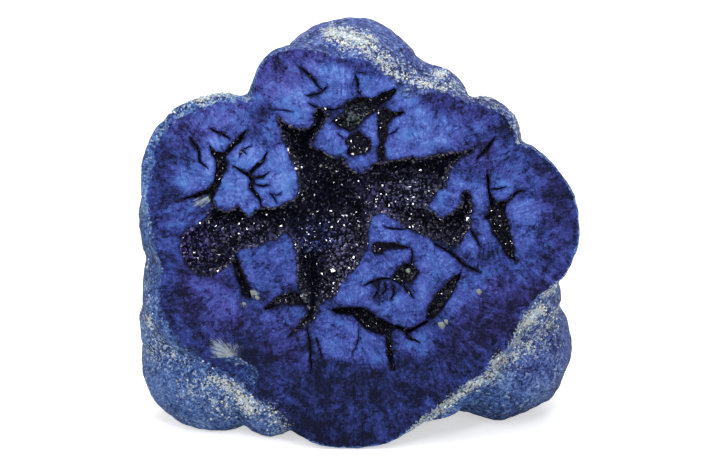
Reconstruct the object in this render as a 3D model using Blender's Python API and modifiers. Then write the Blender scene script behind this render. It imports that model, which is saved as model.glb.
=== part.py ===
"""Sawn half of an azurite nodule.

A lobed blue rind lies behind a flat, sawn and polished face.  A star-shaped
hollow opens in the face, smaller cracks and pockets lie around it, and a crust
of small crystals lines the hollow.

Everything is shaped on a bench with the sawn face up: X runs to the face's
right, Y to its top, and Z is minus the depth behind the face.  The two pieces
hang on the empty display_pose, which stands the specimen up on its lower lobes.
"""
import math
import random

import bmesh
import bpy
from mathutils import Euler, Matrix, Vector, noise

MM = 0.001

# Stance: the face leans back from upright, and its middle is this far up.
FACE_LEAN = math.radians(8.0)
FACE_MIDDLE_HEIGHT = 21.8 * MM

# Gap that keeps the crust clear of the nodule.
SEAT_GAP = 0.3 * MM

# Rind finish: size of the low swellings on a lobe, their height, the size of
# the blocks that the joined lobes are rebuilt from, and the share of faces kept.
SWELL_SIZE = 2.6 * MM
SWELL_HEIGHT = 0.30 * MM
BLOCK_SIZE = 0.55 * MM
SOFTENING_STEPS = 7
FACES_KEPT = 0.088

# Lobes of the nodule: name, middle (right, up, deep) and radii, in mm.
LOBES = (
    ("core", (-0.5, -1.5, 6.0), (17.5, 16.8, 15.0)),
    ("top", (-1.1, 12.9, 6.2), (8.3, 8.3, 8.0)),
    ("top_left", (-5.7, 13.9, 1.5), (5.3, 5.3, 6.0)),
    ("crown", (5.8, 11.8, 5.2), (5.5, 5.1, 5.6)),
    ("brow", (7.8, 9.6, 1.0), (5.2, 4.9, 5.5)),
    ("shoulder", (11.7, 9.4, 2.5), (4.4, 4.4, 5.0)),
    ("right", (12.8, 0.9, 1.0), (9.2, 9.0, 10.0)),
    ("right_low", (16.8, -7.2, 5.0), (3.7, 3.9, 5.0)),
    ("lower_right", (13.6, -13.1, 11.0), (7.7, 7.5, 8.3)),
    ("keel", (-1.0, -14.2, 1.5), (9.5, 7.9, 8.0)),
    ("belly", (5.0, -10.3, 1.0), (9.6, 9.3, 9.0)),
    ("toe", (-9.0, -17.5, 4.2), (4.0, 4.0, 4.4)),
    ("lower_left", (-14.4, -13.9, 7.8), (7.6, 7.6, 7.6)),
    ("left_low", (-14.7, -6.6, 4.8), (7.6, 7.9, 7.5)),
    ("left", (-14.6, 0.9, 4.4), (7.8, 8.0, 8.0)),
    ("upper_left", (-13.7, 5.5, 1.0), (8.3, 8.6, 9.0)),
    ("heel", (0.5, -13.6, 15.5), (9.0, 7.2, 6.8)),
    ("back_low_left", (-8.5, -10.0, 13.8), (7.8, 8.5, 8.0)),
    ("back_left", (-9.0, 2.5, 14.0), (8.0, 8.2, 8.2)),
    ("back_right", (8.5, 1.5, 14.5), (8.8, 8.4, 8.0)),
    ("back_low_right", (10.5, -8.0, 13.5), (7.5, 7.5, 7.5)),
    ("back_top", (-0.5, 9.5, 13.0), (7.6, 7.6, 7.8)),
    ("back_crown", (0.0, -3.5, 16.5), (8.2, 8.0, 7.4)),
)

# The star-shaped hollow: its edge in the face (right, up), in mm, clockwise
# from the tip of the upper left arm, and the depth of its straight walls.
HOLLOW_EDGE = (
    (-8.4, 12.3), (-7.2, 11.3), (-6.0, 10.8), (-5.1, 10.9), (-4.6, 11.4), (-4.4, 12.7),
    (-4.0, 13.0), (-3.0, 12.2), (-3.5, 11.4), (-4.1, 10.4), (-4.9, 9.2), (-4.0, 8.6),
    (-1.7, 7.8), (-0.8, 6.7), (0.2, 6.2), (1.3, 7.4), (4.0, 7.7), (6.4, 7.8),
    (8.5, 8.4), (11.0, 8.8), (11.8, 9.2), (9.8, 7.6), (8.8, 6.1), (8.6, 4.9),
    (7.2, 3.8), (6.9, 2.8), (8.2, 1.7), (10.2, 3.4), (10.6, 4.7), (11.2, 4.0),
    (11.2, 2.4), (10.2, -0.4), (9.0, -1.2), (7.1, -0.4), (5.4, 0.5), (3.9, 1.5),
    (2.5, 2.2), (1.1, 1.7), (0.8, -0.2), (0.2, -2.1), (-1.3, -4.1), (-2.3, -6.0),
    (-4.2, -7.0), (-4.5, -8.5), (-5.8, -9.3), (-7.1, -10.3), (-5.5, -8.3), (-5.2, -7.7),
    (-6.0, -5.6), (-6.4, -4.7), (-6.4, -1.7), (-7.2, 0.2), (-8.4, -0.2), (-10.2, -1.1),
    (-12.1, -1.4), (-13.3, -3.2), (-14.9, -4.1), (-15.4, 1.9), (-14.6, 3.5),
    (-13.2, 2.5), (-12.2, 3.2), (-11.1, 1.9), (-9.7, 2.8), (-7.8, 3.2), (-6.3, 4.2),
    (-6.2, 5.7), (-7.0, 7.9), (-8.0, 10.9),
)
HOLLOW_DEPTH = 3.5 * MM

# The deep chamber behind the middle of the star.
CHAMBER_MIDDLE = (-2.2, 3.2, 5.8)
CHAMBER_RADII = (6.2, 5.6, 5.0)

# Pockets and open cracks around the hollow: name, depth and edge, in mm.
PITS = (
    ("left_shelf", 1.4, (
        (-14.2, -4.3), (-16.2, -3.9), (-17.6, -2.6), (-18.0, -0.7), (-17.3, 0.7),
        (-15.4, 2.0), (-14.2, 2.0))),
    ("top_pocket", 1.6, (
        (-1.5, 13.4), (-0.1, 14.0), (2.5, 14.5), (3.3, 14.9), (3.4, 14.3), (2.1, 13.2),
        (1.7, 12.6), (0.6, 11.8), (-0.1, 10.9), (-1.0, 10.5), (-2.2, 10.9), (-2.7, 11.5),
        (-1.7, 12.5))),
    ("star_pit", 1.2, (
        (-0.9, 10.2), (0.1, 10.3), (1.0, 9.7), (1.1, 8.8), (0.6, 8.4), (-0.5, 8.3),
        (-1.3, 8.6), (-1.4, 9.6))),
    ("brow_crack", 1.0, (
        (1.8, 12.1), (2.9, 12.4), (2.9, 11.0), (2.4, 9.2), (2.4, 7.2), (1.9, 7.2),
        (1.8, 10.5))),
    ("right_pocket", 1.8, (
        (12.7, 6.6), (12.9, 5.2), (13.1, 4.0), (13.7, 3.4), (14.7, 3.6), (14.5, 2.4),
        (15.0, 0.8), (15.3, -0.7), (15.7, -2.9), (15.1, -2.4), (14.2, -1.5), (13.9, -0.4),
        (13.2, 0.3), (13.0, 1.8), (12.2, 1.8), (12.7, 2.2), (12.9, 3.2), (12.7, 4.7))),
    ("blade_crack", 2.4, (
        (-3.0, -7.4), (-2.1, -7.3), (0.1, -7.2), (1.4, -7.9), (2.9, -8.9), (4.4, -9.2),
        (6.7, -8.5), (6.8, -8.8), (5.2, -9.7), (2.9, -9.9), (1.6, -10.1), (0.3, -9.2),
        (-0.8, -8.1), (-2.3, -7.9))),
    ("lower_slot", 1.5, (
        (2.7, -9.4), (3.3, -9.4), (3.3, -11.7), (3.6, -13.7), (3.1, -13.7), (2.7, -11.8))),
    ("eye_pocket", 1.4, (
        (3.1, -4.4), (3.6, -3.4), (4.4, -2.8), (5.4, -2.8), (5.9, -3.9), (5.2, -4.7),
        (4.1, -5.0))),
    ("belly_crack", 1.8, (
        (10.1, -3.5), (9.1, -4.4), (7.6, -5.9), (6.8, -7.5), (6.6, -8.4), (7.3, -8.4),
        (8.3, -7.7), (9.1, -6.2), (10.0, -4.4))),
    ("crescent_crack", 1.8, (
        (-15.0, 9.2), (-14.3, 8.6), (-13.5, 8.5), (-13.2, 7.5), (-13.3, 6.7), (-13.8, 5.9),
        (-14.0, 5.2), (-14.4, 4.6), (-15.2, 4.1), (-16.7, 3.8), (-18.3, 3.5), (-16.7, 4.1),
        (-15.4, 4.6), (-14.7, 5.2), (-14.5, 6.0), (-14.3, 6.9), (-14.4, 7.7))),
    ("wedge_crack", 1.6, (
        (-13.9, 8.2), (-12.8, 9.3), (-12.0, 10.0), (-11.2, 10.9), (-11.6, 9.8),
        (-12.4, 9.0), (-13.4, 8.0))),
    ("left_crack", 1.6, (
        (-12.9, -2.2), (-12.2, -1.9), (-11.3, -4.6), (-10.8, -5.5), (-11.0, -6.4),
        (-11.8, -5.9), (-12.2, -4.6))),
    ("low_band", 1.4, (
        (-9.6, -7.3), (-8.3, -6.2), (-6.7, -5.6), (-5.6, -6.2), (-5.0, -7.4), (-5.8, -7.1),
        (-7.7, -7.0), (-9.5, -7.5))),
)

# Crust: its edge in plan and the mouth over the chamber, in mm, the depth of
# its ledge's top, the thickness of the lining and the height kept free below
# the face.
CRUST_EDGE = (
    (-7.2, 10.4), (-6.0, 10.3), (-4.9, 10.3), (-5.5, 9.1), (-4.2, 8.2), (-2.0, 7.3),
    (-1.1, 6.4), (-0.1, 5.7), (0.5, 5.7), (1.5, 6.9), (4.0, 7.3), (6.4, 7.3),
    (8.6, 7.9), (9.2, 7.8), (8.4, 6.3), (8.1, 5.2), (6.8, 4.1), (6.4, 2.8),
    (8.1, 1.2), (9.4, 2.0), (10.5, 3.0), (10.7, 2.4), (9.8, -0.1), (9.0, -0.6),
    (7.3, 0.1), (5.6, 1.0), (4.1, 2.0), (2.6, 2.7), (0.7, 2.1), (0.3, -0.1),
    (-0.3, -1.9), (-1.8, -3.9), (-2.8, -5.7), (-4.6, -6.5), (-5.4, -5.6), (-5.9, -4.6),
    (-5.9, -1.6), (-6.9, 0.7), (-8.4, 0.3), (-10.2, -0.6), (-11.9, -0.9), (-13.0, -2.7),
    (-14.4, -3.5), (-14.4, 2.2), (-13.2, 1.9), (-12.3, 2.5), (-11.1, 1.3), (-9.5, 2.3),
    (-7.6, 2.7), (-5.8, 3.9), (-5.7, 5.8), (-6.5, 8.0),
)
MOUTH_EDGE = (
    (-5.7, 7.4), (-4.9, 8.0), (-3.6, 7.4), (-2.3, 6.9), (-0.9, 6.0), (0.6, 5.5),
    (1.6, 4.8), (1.9, 3.4), (0.5, 2.8), (0.0, 1.4), (-0.4, -0.4), (-2.4, -0.9),
    (-4.8, -0.1), (-6.1, 1.7), (-5.8, 3.6), (-5.4, 5.6),
)
LEDGE_TOP = 1.6 * MM
LINING = 1.2 * MM
CRUST_BELOW_FACE = 0.5 * MM

# Crystals on the crust: six-sided and flat-faced, from a seeded scatter.
CRYSTAL_SEED = 11
CRYSTAL_RADIUS = (0.4, 0.95)
LEDGE_CRYSTALS = 62
CHAMBER_CRYSTALS = 44
CRYSTAL_LEAN = math.radians(38.0)

# The way into the chamber that stays free of crystals: its corners (right, up)
# and its depth, in mm.
FREE_WAY = ((-5.1, 0.2), (-0.3, 5.9))
FREE_WAY_DEPTH = 6.2


def clear_scene():
    """Remove every object and collection of the start file."""
    for old in list(bpy.data.objects):
        bpy.data.objects.remove(old, do_unlink=True)
    for old in list(bpy.data.collections):
        bpy.data.collections.remove(old)


def new_collection(name):
    made = bpy.data.collections.new(name)
    bpy.context.scene.collection.children.link(made)
    return made


def stone(name, colour, roughness):
    """A plain stone material."""
    made = bpy.data.materials.new(name)
    made.use_nodes = True
    shader = made.node_tree.nodes["Principled BSDF"]
    shader.inputs["Base Color"].default_value = (*colour, 1.0)
    shader.inputs["Roughness"].default_value = roughness
    shader.inputs["Metallic"].default_value = 0.0
    return made


def in_metres(point):
    """Turn (right, up, deep) in mm into a bench place in metres."""
    right, up, deep = point
    return Vector((right, up, -deep)) * MM


def object_from_bmesh(name, bm, collection):
    mesh = bpy.data.meshes.new(name)
    bm.to_mesh(mesh)
    bm.free()
    made = bpy.data.objects.new(name, mesh)
    collection.objects.link(made)
    return made


def as_cutter(cutter):
    cutter.hide_render = True
    cutter.display_type = "WIRE"
    return cutter


def boolean(target, operation, cutter):
    """Add an exact Boolean with another object."""
    modifier = target.modifiers.new(f"{operation.lower()}_{cutter.name}", "BOOLEAN")
    modifier.operation = operation
    modifier.solver = "EXACT"
    modifier.object = cutter


def plate(name, edge, top, bottom, collection):
    """A closed plate with the given edge (mm), between two heights (metres)."""
    curve = bpy.data.curves.new(name, "CURVE")
    curve.dimensions = "2D"
    curve.fill_mode = "BOTH"
    curve.extrude = (top - bottom) / 2
    spline = curve.splines.new("POLY")
    spline.points.add(len(edge) - 1)
    for point, (right, up) in zip(spline.points, edge):
        point.co = (right * MM, up * MM, 0.0, 1.0)
    spline.use_cyclic_u = True
    flat = bpy.data.objects.new(name + "_curve", curve)
    flat.location.z = (top + bottom) / 2
    collection.objects.link(flat)
    bpy.context.view_layer.update()
    seen = flat.evaluated_get(bpy.context.evaluated_depsgraph_get())
    mesh = bpy.data.meshes.new_from_object(seen)
    made = bpy.data.objects.new(name, mesh)
    made.matrix_world = flat.matrix_world.copy()
    collection.objects.link(made)
    bpy.data.objects.remove(flat, do_unlink=True)
    bm = bmesh.new()
    bm.from_mesh(mesh)
    bmesh.ops.remove_doubles(bm, verts=bm.verts, dist=0.001 * MM)
    bmesh.ops.recalc_face_normals(bm, faces=bm.faces)
    bm.to_mesh(mesh)
    bm.free()
    return made


def add_ball(bm, middle, radii, roundness=2):
    """Add an ellipsoid to a bmesh and return its vertices."""
    place = Matrix.Translation(in_metres(middle)) @ Matrix.Diagonal((*radii, 1.0))
    ball = bmesh.ops.create_icosphere(bm, subdivisions=roundness, radius=MM, matrix=place)
    return ball["verts"]


def ball_object(name, middle, radii, collection):
    """A faceted ellipsoid as an object."""
    bm = bmesh.new()
    add_ball(bm, middle, radii)
    return object_from_bmesh(name, bm, collection)


def grow_lobes(bm):
    """Add every lobe, with low swellings on its skin."""
    for _, middle, radii in LOBES:
        heart = in_metres(middle)
        for vert in add_ball(bm, middle, radii, roundness=5):
            outward = (vert.co - heart).normalized()
            vert.co += outward * SWELL_HEIGHT * noise.noise(vert.co / SWELL_SIZE)


def add_rind_modifiers(nodule):
    """Weld the lobes into one skin, soften the creases and thin its faces."""
    weld = nodule.modifiers.new("weld_lobes", "REMESH")
    weld.mode = "VOXEL"
    weld.voxel_size = BLOCK_SIZE
    soften = nodule.modifiers.new("soften_creases", "SMOOTH")
    soften.factor = 0.5
    soften.iterations = SOFTENING_STEPS
    thin = nodule.modifiers.new("thin_faces", "DECIMATE")
    thin.ratio = FACES_KEPT


def saw_blocks(cutters, stand):
    """The block in front of the sawn face, and the one under the resting feet."""
    size = 80 * MM
    front = bmesh.new()
    bmesh.ops.create_cube(front, size=size, matrix=Matrix.Translation((0, 0, size / 2)))
    front = object_from_bmesh("front_block", front, cutters)
    front.parent = stand
    under = bmesh.new()
    bmesh.ops.create_cube(under, size=size, matrix=Matrix.Translation((0, 0, -size / 2)))
    return front, object_from_bmesh("under_block", under, cutters)


def build_nodule(parts, cutters, stand):
    """The nodule: lobes, sawn face, resting feet, hollow, chamber and pits."""
    bm = bmesh.new()
    grow_lobes(bm)
    nodule = object_from_bmesh("azurite_nodule", bm, parts)
    add_rind_modifiers(nodule)
    above = 1.0 * MM
    tools = list(saw_blocks(cutters, stand))
    tools.append(plate("hollow_walls", HOLLOW_EDGE, above, -HOLLOW_DEPTH, cutters))
    tools.append(ball_object("chamber", CHAMBER_MIDDLE, CHAMBER_RADII, cutters))
    for name, depth, edge in PITS:
        tools.append(plate(name, edge, above, -depth * MM, cutters))
    for tool in tools:
        if tool.name != "under_block":
            tool.parent = stand
        boolean(nodule, "DIFFERENCE", as_cutter(tool))
    nodule.parent = stand
    return nodule


def shrunk(radii, less):
    """Radii in mm, less a length in metres."""
    return tuple(radius - less / MM for radius in radii)


def is_inside(point, edge):
    """Whether (right, up) lies inside a closed edge."""
    right, up = point
    inside = False
    for (x0, y0), (x1, y1) in zip(edge, edge[1:] + edge[:1]):
        crosses = (y0 > up) != (y1 > up)
        if crosses and right < x0 + (up - y0) * (x1 - x0) / (y1 - y0):
            inside = not inside
    return inside


def has_room(co):
    """Whether a bench point lies where crystals may be, clear of the nodule."""
    right, up, deep = co.x / MM, co.y / MM, -co.z / MM
    (left, low), (far, high) = FREE_WAY
    if left < right < far and low < up < high and deep < FREE_WAY_DEPTH:
        return False
    in_ledge = -HOLLOW_DEPTH + SEAT_GAP < co.z < -CRUST_BELOW_FACE
    if in_ledge and is_inside((right, up), CRUST_EDGE):
        return True
    offset = Vector((right, up, deep)) - Vector(CHAMBER_MIDDLE)
    radii = shrunk(CHAMBER_RADII, SEAT_GAP * 1.2)
    in_bowl = sum((part / radius) ** 2 for part, radius in zip(offset, radii)) < 1.0
    return in_bowl and co.z < -LEDGE_TOP


def crystal_place(foot, outward, height, dice):
    """Where a crystal stands: its foot in the crust, leaning a little."""
    lean = Euler((dice.uniform(-1, 1) * CRYSTAL_LEAN, dice.uniform(-1, 1) * CRYSTAL_LEAN,
                  dice.uniform(0, math.tau)))
    turn = outward.to_track_quat("Z", "Y").to_matrix().to_4x4() @ lean.to_matrix().to_4x4()
    squash = Matrix.Diagonal((1.0, dice.uniform(0.6, 0.95), 1.0, 1.0))
    return Matrix.Translation(foot) @ turn @ squash @ Matrix.Translation((0, 0, height * 0.25))


def make_crystal(foot, outward, radius, dice):
    """One six-sided crystal with a blunt tip, or None where it has no room."""
    height = radius * dice.uniform(1.5, 2.2)
    place = crystal_place(foot, outward, height, dice)
    bm = bmesh.new()
    bmesh.ops.create_cone(bm, cap_ends=True, segments=6, radius1=radius,
                          radius2=radius * dice.uniform(0.3, 0.6), depth=height, matrix=place)
    if all(has_room(vert.co) for vert in bm.verts):
        return bm
    bm.free()
    return None


def ledge_feet(dice):
    """Places and outward directions for crystals on the ledge, without end."""
    rights = [right for right, _ in CRUST_EDGE]
    ups = [up for _, up in CRUST_EDGE]
    while True:
        right = dice.uniform(min(rights), max(rights))
        up = dice.uniform(min(ups), max(ups))
        if is_inside((right, up), CRUST_EDGE) and not is_inside((right, up), MOUTH_EDGE):
            yield Vector((right * MM, up * MM, -LEDGE_TOP)), Vector((0, 0, 1))


def chamber_feet(dice):
    """Places and outward directions for crystals in the bowl, without end."""
    radii = Vector(shrunk(CHAMBER_RADII, SEAT_GAP + LINING)) * MM
    while True:
        turn = dice.uniform(0, math.tau)
        down = dice.uniform(0.1, 1.0)
        reach = math.sqrt(1 - down * down)
        way = Vector((reach * math.cos(turn), reach * math.sin(turn), -down))
        yield in_metres(CHAMBER_MIDDLE) + way * radii, -way


def scatter(feet, count, dice):
    """Crystals on the first places that have room for them."""
    made = []
    while len(made) < count:
        foot, outward = next(feet)
        crystal = make_crystal(foot, outward, dice.uniform(*CRYSTAL_RADIUS) * MM, dice)
        if crystal:
            made.append(crystal)
    return made


def bounds(bm):
    low = Vector(min(vert.co[axis] for vert in bm.verts) for axis in range(3))
    high = Vector(max(vert.co[axis] for vert in bm.verts) for axis in range(3))
    return low, high


def apart(box, other):
    """Whether two boxes don't touch."""
    return any(box[0][axis] > other[1][axis] or other[0][axis] > box[1][axis]
               for axis in range(3))


def sort_apart(crystals):
    """Sort the crystals into groups in which none touches another."""
    groups = []
    for crystal in crystals:
        box = bounds(crystal)
        for group in groups:
            if all(apart(box, other) for other, _ in group):
                group.append((box, crystal))
                break
        else:
            groups.append([(box, crystal)])
    return groups


def group_object(number, group, collection):
    """One object from a group of crystals."""
    joined = bmesh.new()
    for _, crystal in group:
        mesh = bpy.data.meshes.new("crystal")
        crystal.to_mesh(mesh)
        crystal.free()
        joined.from_mesh(mesh)
        bpy.data.meshes.remove(mesh)
    return object_from_bmesh(f"crystals_{number}", joined, collection)


def build_crust(parts, cutters, stand):
    """The crust: a ledge in the arms and a lined bowl, with crystals on both."""
    ledge = plate("crystal_crust", CRUST_EDGE, -LEDGE_TOP, -HOLLOW_DEPTH + SEAT_GAP, parts)
    bowl = ball_object("bowl", CHAMBER_MIDDLE, shrunk(CHAMBER_RADII, SEAT_GAP), cutters)
    air_radii = shrunk(CHAMBER_RADII, SEAT_GAP + LINING)
    air = ball_object("bowl_air", CHAMBER_MIDDLE, air_radii, cutters)
    mouth = plate("mouth", MOUTH_EDGE, 1.0 * MM, -CHAMBER_MIDDLE[2] * MM, cutters)
    boolean(ledge, "UNION", bowl)
    boolean(ledge, "DIFFERENCE", mouth)
    boolean(ledge, "DIFFERENCE", air)
    dice = random.Random(CRYSTAL_SEED)
    crystals = scatter(ledge_feet(dice), LEDGE_CRYSTALS, dice)
    crystals += scatter(chamber_feet(dice), CHAMBER_CRYSTALS, dice)
    tools = [bowl, air, mouth]
    for number, group in enumerate(sort_apart(crystals), 1):
        tools.append(group_object(number, group, cutters))
        boolean(ledge, "UNION", tools[-1])
    for tool in tools:
        as_cutter(tool).parent = stand
    ledge.parent = stand
    return ledge


def centre_over_origin(stand, nodule):
    """Slide the stand level, so that the nodule's box is centred over the origin."""
    bpy.context.view_layer.update()
    seen = nodule.evaluated_get(bpy.context.evaluated_depsgraph_get())
    places = [seen.matrix_world @ vert.co for vert in seen.to_mesh().vertices]
    for axis in (0, 1):
        values = [place[axis] for place in places]
        stand.location[axis] -= (min(values) + max(values)) / 2
    seen.to_mesh_clear()


def main():
    clear_scene()
    parts = new_collection("azurite_specimen")
    cutters = new_collection("cutters")
    stand = bpy.data.objects.new("display_pose", None)
    stand.location = (0.0, 0.0, FACE_MIDDLE_HEIGHT)
    stand.rotation_euler = (math.pi / 2 - FACE_LEAN, 0.0, 0.0)
    parts.objects.link(stand)
    nodule = build_nodule(parts, cutters, stand)
    nodule.data.materials.append(stone("azurite_blue", (0.035, 0.07, 0.32), 0.45))
    crust = build_crust(parts, cutters, stand)
    crust.data.materials.append(stone("crystal_dark", (0.012, 0.012, 0.045), 0.15))
    centre_over_origin(stand, nodule)


main()
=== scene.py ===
# %% [markdown]
# # A sawn azurite nodule
# The real thing is half of a lobed blue nodule. Its front was sawn flat and polished, which shows
# bright blue plates parted by cracks round a star-shaped hollow, and a crust of small dark crystals
# lines the hollow. This notebook dresses the packed solids: it makes a fine skin for the stone, the
# crust, thousands of crystals and grains, and the shaders for each.

# %% Load the frame
import math

import bmesh
import bpy
import numpy as np
from mathutils import Matrix, Vector, geometry, noise


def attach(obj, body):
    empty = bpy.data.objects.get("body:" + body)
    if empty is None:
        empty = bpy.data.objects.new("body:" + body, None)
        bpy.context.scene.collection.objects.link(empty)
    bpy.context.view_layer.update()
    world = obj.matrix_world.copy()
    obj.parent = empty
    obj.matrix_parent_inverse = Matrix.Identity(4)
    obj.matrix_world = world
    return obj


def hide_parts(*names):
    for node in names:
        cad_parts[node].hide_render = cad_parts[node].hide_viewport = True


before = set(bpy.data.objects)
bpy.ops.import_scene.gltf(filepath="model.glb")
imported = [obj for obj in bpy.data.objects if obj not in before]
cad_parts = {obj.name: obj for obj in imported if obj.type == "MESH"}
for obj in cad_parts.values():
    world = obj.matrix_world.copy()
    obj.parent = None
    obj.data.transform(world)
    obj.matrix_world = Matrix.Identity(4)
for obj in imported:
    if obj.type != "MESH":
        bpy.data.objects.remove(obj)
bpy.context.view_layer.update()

# %% [markdown]
# ## The bench
# Shaping is easier with the sawn face flat and up, so every outline is drawn on a bench: X runs to
# the face's right, Y to its top and Z is minus the depth behind the face, all in millimetres. One
# matrix then stands the finished mesh up, in metres, where the packed solids stand. The face leans
# back, and the photograph looks down on it by a few degrees more, the view's tilt.

# %% The bench and the stance
MM = 0.001
FACE_LEAN = math.radians(8.0)
VIEW_TILT = math.radians(10.0)
FACE_MIDDLE = (0.159, -10.112, 21.8)
TO_ROW = (Matrix.Translation(Vector(FACE_MIDDLE) * MM)
          @ Matrix.Rotation(math.pi / 2 - FACE_LEAN, 4, "X") @ Matrix.Scale(MM, 4))
TO_ROW_ARRAY = np.array(TO_ROW)


def to_row(places):
    """Bench places (mm) as row places (m)."""
    return places @ TO_ROW_ARRAY[:3, :3].T + TO_ROW_ARRAY[:3, 3]


print("the sawn face leans back", round(math.degrees(FACE_LEAN), 1), "degrees")

# %% [markdown]
# ## The lobes
# An azurite nodule grows as balls that merge, so its rind bulges. It could be sculpted, or grown
# from metaballs, whose size is hard to foretell. Plain ellipsoids are used, because each one's size
# can be read, and nearly the same ones shape the packed solid. Each line gives a name, a middle
# (right, up, deep) and radii, in mm.

# %% Lobes
LOBES = (
    ("core", (-0.5, -1.5, 6.0), (17.5, 16.8, 15.0)),
    ("top", (-1.1, 12.9, 6.2), (8.3, 8.3, 8.0)),
    ("top_left", (-5.7, 13.9, 1.5), (5.3, 5.3, 6.0)),
    ("crown", (5.8, 11.8, 5.2), (5.5, 5.1, 5.6)),
    ("brow", (7.8, 9.6, 1.0), (5.2, 4.9, 5.5)),
    ("shoulder", (11.7, 9.4, 2.5), (4.4, 4.4, 5.0)),
    ("right", (12.8, 0.9, 1.0), (9.2, 9.0, 10.0)),
    ("right_low", (16.8, -7.2, 5.0), (3.7, 3.9, 5.0)),
    ("lower_right", (14.1, -13.3, 10.2), (7.9, 7.7, 8.3)),
    ("keel", (-1.0, -14.2, 1.5), (9.5, 7.9, 8.0)),
    ("belly", (5.0, -10.3, 1.0), (9.6, 9.3, 9.0)),
    ("toe", (-9.0, -17.5, 4.2), (4.0, 4.0, 4.4)),
    ("lower_left", (-14.7, -14.2, 8.2), (7.8, 7.7, 7.7)),
    ("left_low", (-14.7, -6.6, 4.8), (7.6, 7.9, 7.5)),
    ("left", (-14.6, 0.9, 4.4), (7.8, 8.0, 8.0)),
    ("upper_left", (-13.7, 5.5, 1.0), (8.3, 8.6, 9.0)),
    ("right_fill", (12.2, -8.6, 4.0), (5.0, 5.2, 6.5)),
    ("left_fill", (-15.9, -10.3, 6.6), (6.8, 5.8, 6.0)),
    ("heel", (0.5, -13.6, 15.5), (9.0, 7.2, 6.8)),
    ("back_low_left", (-8.5, -10.0, 13.8), (7.8, 8.5, 8.0)),
    ("back_left", (-9.0, 2.5, 14.0), (8.0, 8.2, 8.2)),
    ("back_right", (8.5, 1.5, 14.5), (8.8, 8.4, 8.0)),
    ("back_low_right", (10.5, -8.0, 13.5), (7.5, 7.5, 7.5)),
    ("back_top", (-0.5, 9.5, 13.0), (7.6, 7.6, 7.8)),
    ("back_crown", (0.0, -3.5, 16.5), (8.2, 8.0, 7.4)),
)
print(len(LOBES), "lobes")

# %% [markdown]
# ## The rind's skin
# The balls are joined, rebuilt from small even blocks (a voxel Remesh) and smoothed, so the creases
# between them stay but lose their knife edge. Noise then pushes the skin in and out along its own
# direction: broad swellings, small round buds, and a fine grain that catches the light. A bump in
# the shader would be cheaper, but it leaves the outline smooth, and a real rind's isn't.

# %% Grow the rind
BLOCK = 0.34
SOFTENING_STEPS = 16
SWELLING = (2.6, 0.30)
BUDS = (1.15, 0.16)
GRAIN = (0.42, 0.045)


def mesh_arrays(mesh):
    """A mesh's vertex places as an array."""
    places = np.zeros(len(mesh.vertices) * 3)
    mesh.vertices.foreach_get("co", places)
    return places.reshape(-1, 3)


def grow_skin():
    """The joined, softened lobes as a mesh on the bench."""
    bm = bmesh.new()
    for _, (right, up, deep), radii in LOBES:
        place = Matrix.Translation((right, up, -deep)) @ Matrix.Diagonal((*radii, 1.0))
        bmesh.ops.create_icosphere(bm, subdivisions=5, radius=1.0, matrix=place)
    mesh = bpy.data.meshes.new("skin")
    bm.to_mesh(mesh)
    bm.free()
    skin = bpy.data.objects.new("skin", mesh)
    bpy.context.scene.collection.objects.link(skin)
    weld = skin.modifiers.new("weld", "REMESH")
    weld.mode = "VOXEL"
    weld.voxel_size = BLOCK
    soften = skin.modifiers.new("soften", "SMOOTH")
    soften.factor = 0.5
    soften.iterations = SOFTENING_STEPS
    bpy.context.view_layer.update()
    seen = skin.evaluated_get(bpy.context.evaluated_depsgraph_get())
    grown = bpy.data.meshes.new_from_object(seen)
    bpy.data.objects.remove(skin, do_unlink=True)
    bpy.data.meshes.remove(mesh)
    return grown


def bud(place, size):
    """Round buds: high in the middle of each cell, low where cells meet."""
    near, _ = noise.voronoi(place / size)
    return 0.5 - min(near[0], 1.0)


def roughen(mesh):
    """Push the skin in and out along its normals, which are read before any point moves."""
    places = mesh_arrays(mesh)
    outward = np.array([vert.normal for vert in mesh.vertices])
    pushes = np.zeros(len(places))
    for index, place in enumerate(map(Vector, places)):
        pushes[index] = (SWELLING[1] * noise.noise(place / SWELLING[0])
                         + BUDS[1] * bud(place, BUDS[0])
                         + GRAIN[1] * noise.noise(place / GRAIN[0]))
    mesh.vertices.foreach_set("co", (places + outward * pushes[:, None]).ravel())
    mesh.update()


skin_mesh = grow_skin()
roughen(skin_mesh)
print("rind skin:", len(skin_mesh.vertices), "points")

# %% [markdown]
# ## The saw cut
# The real nodule was sawn in half and its front polished. A boolean with a block could cut it too,
# but Bisect is a single clean plane and leaves an open edge. That edge is followed from point to
# point here, and the face is fitted to it later, so both share the same points.

# %% Saw the front off
SAW_REACH = 0.02


def saw(mesh):
    """Cut away all in front of the face; returns the bmesh and its edge in order."""
    bm = bmesh.new()
    bm.from_mesh(mesh)
    everything = bm.verts[:] + bm.edges[:] + bm.faces[:]
    bmesh.ops.bisect_plane(bm, geom=everything, dist=SAW_REACH, plane_co=(0, 0, 0),
                           plane_no=(0, 0, 1), clear_outer=True)
    bmesh.ops.triangulate(bm, faces=bm.faces)
    border = [edge for edge in bm.edges if edge.is_boundary]
    follow = {}
    for edge in border:
        for vert in edge.verts:
            follow.setdefault(vert, []).append(edge.other_vert(vert))
    loops = []
    left = set(follow)
    while left:
        start = max(left, key=lambda vert: vert.co.x)
        loop = [start]
        left.discard(start)
        step = follow[start][0]
        while step in left:
            loop.append(step)
            left.discard(step)
            step = next((vert for vert in follow[step] if vert in left), start)
        loops.append(loop)
    loops.sort(key=len, reverse=True)
    return bm, loops


rind, loops = saw(skin_mesh)
RIM = np.array([vert.co.xy for vert in loops[0]])
print("the saw left", len(loops), "edge loop(s), the longest of", len(RIM), "points")

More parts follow.
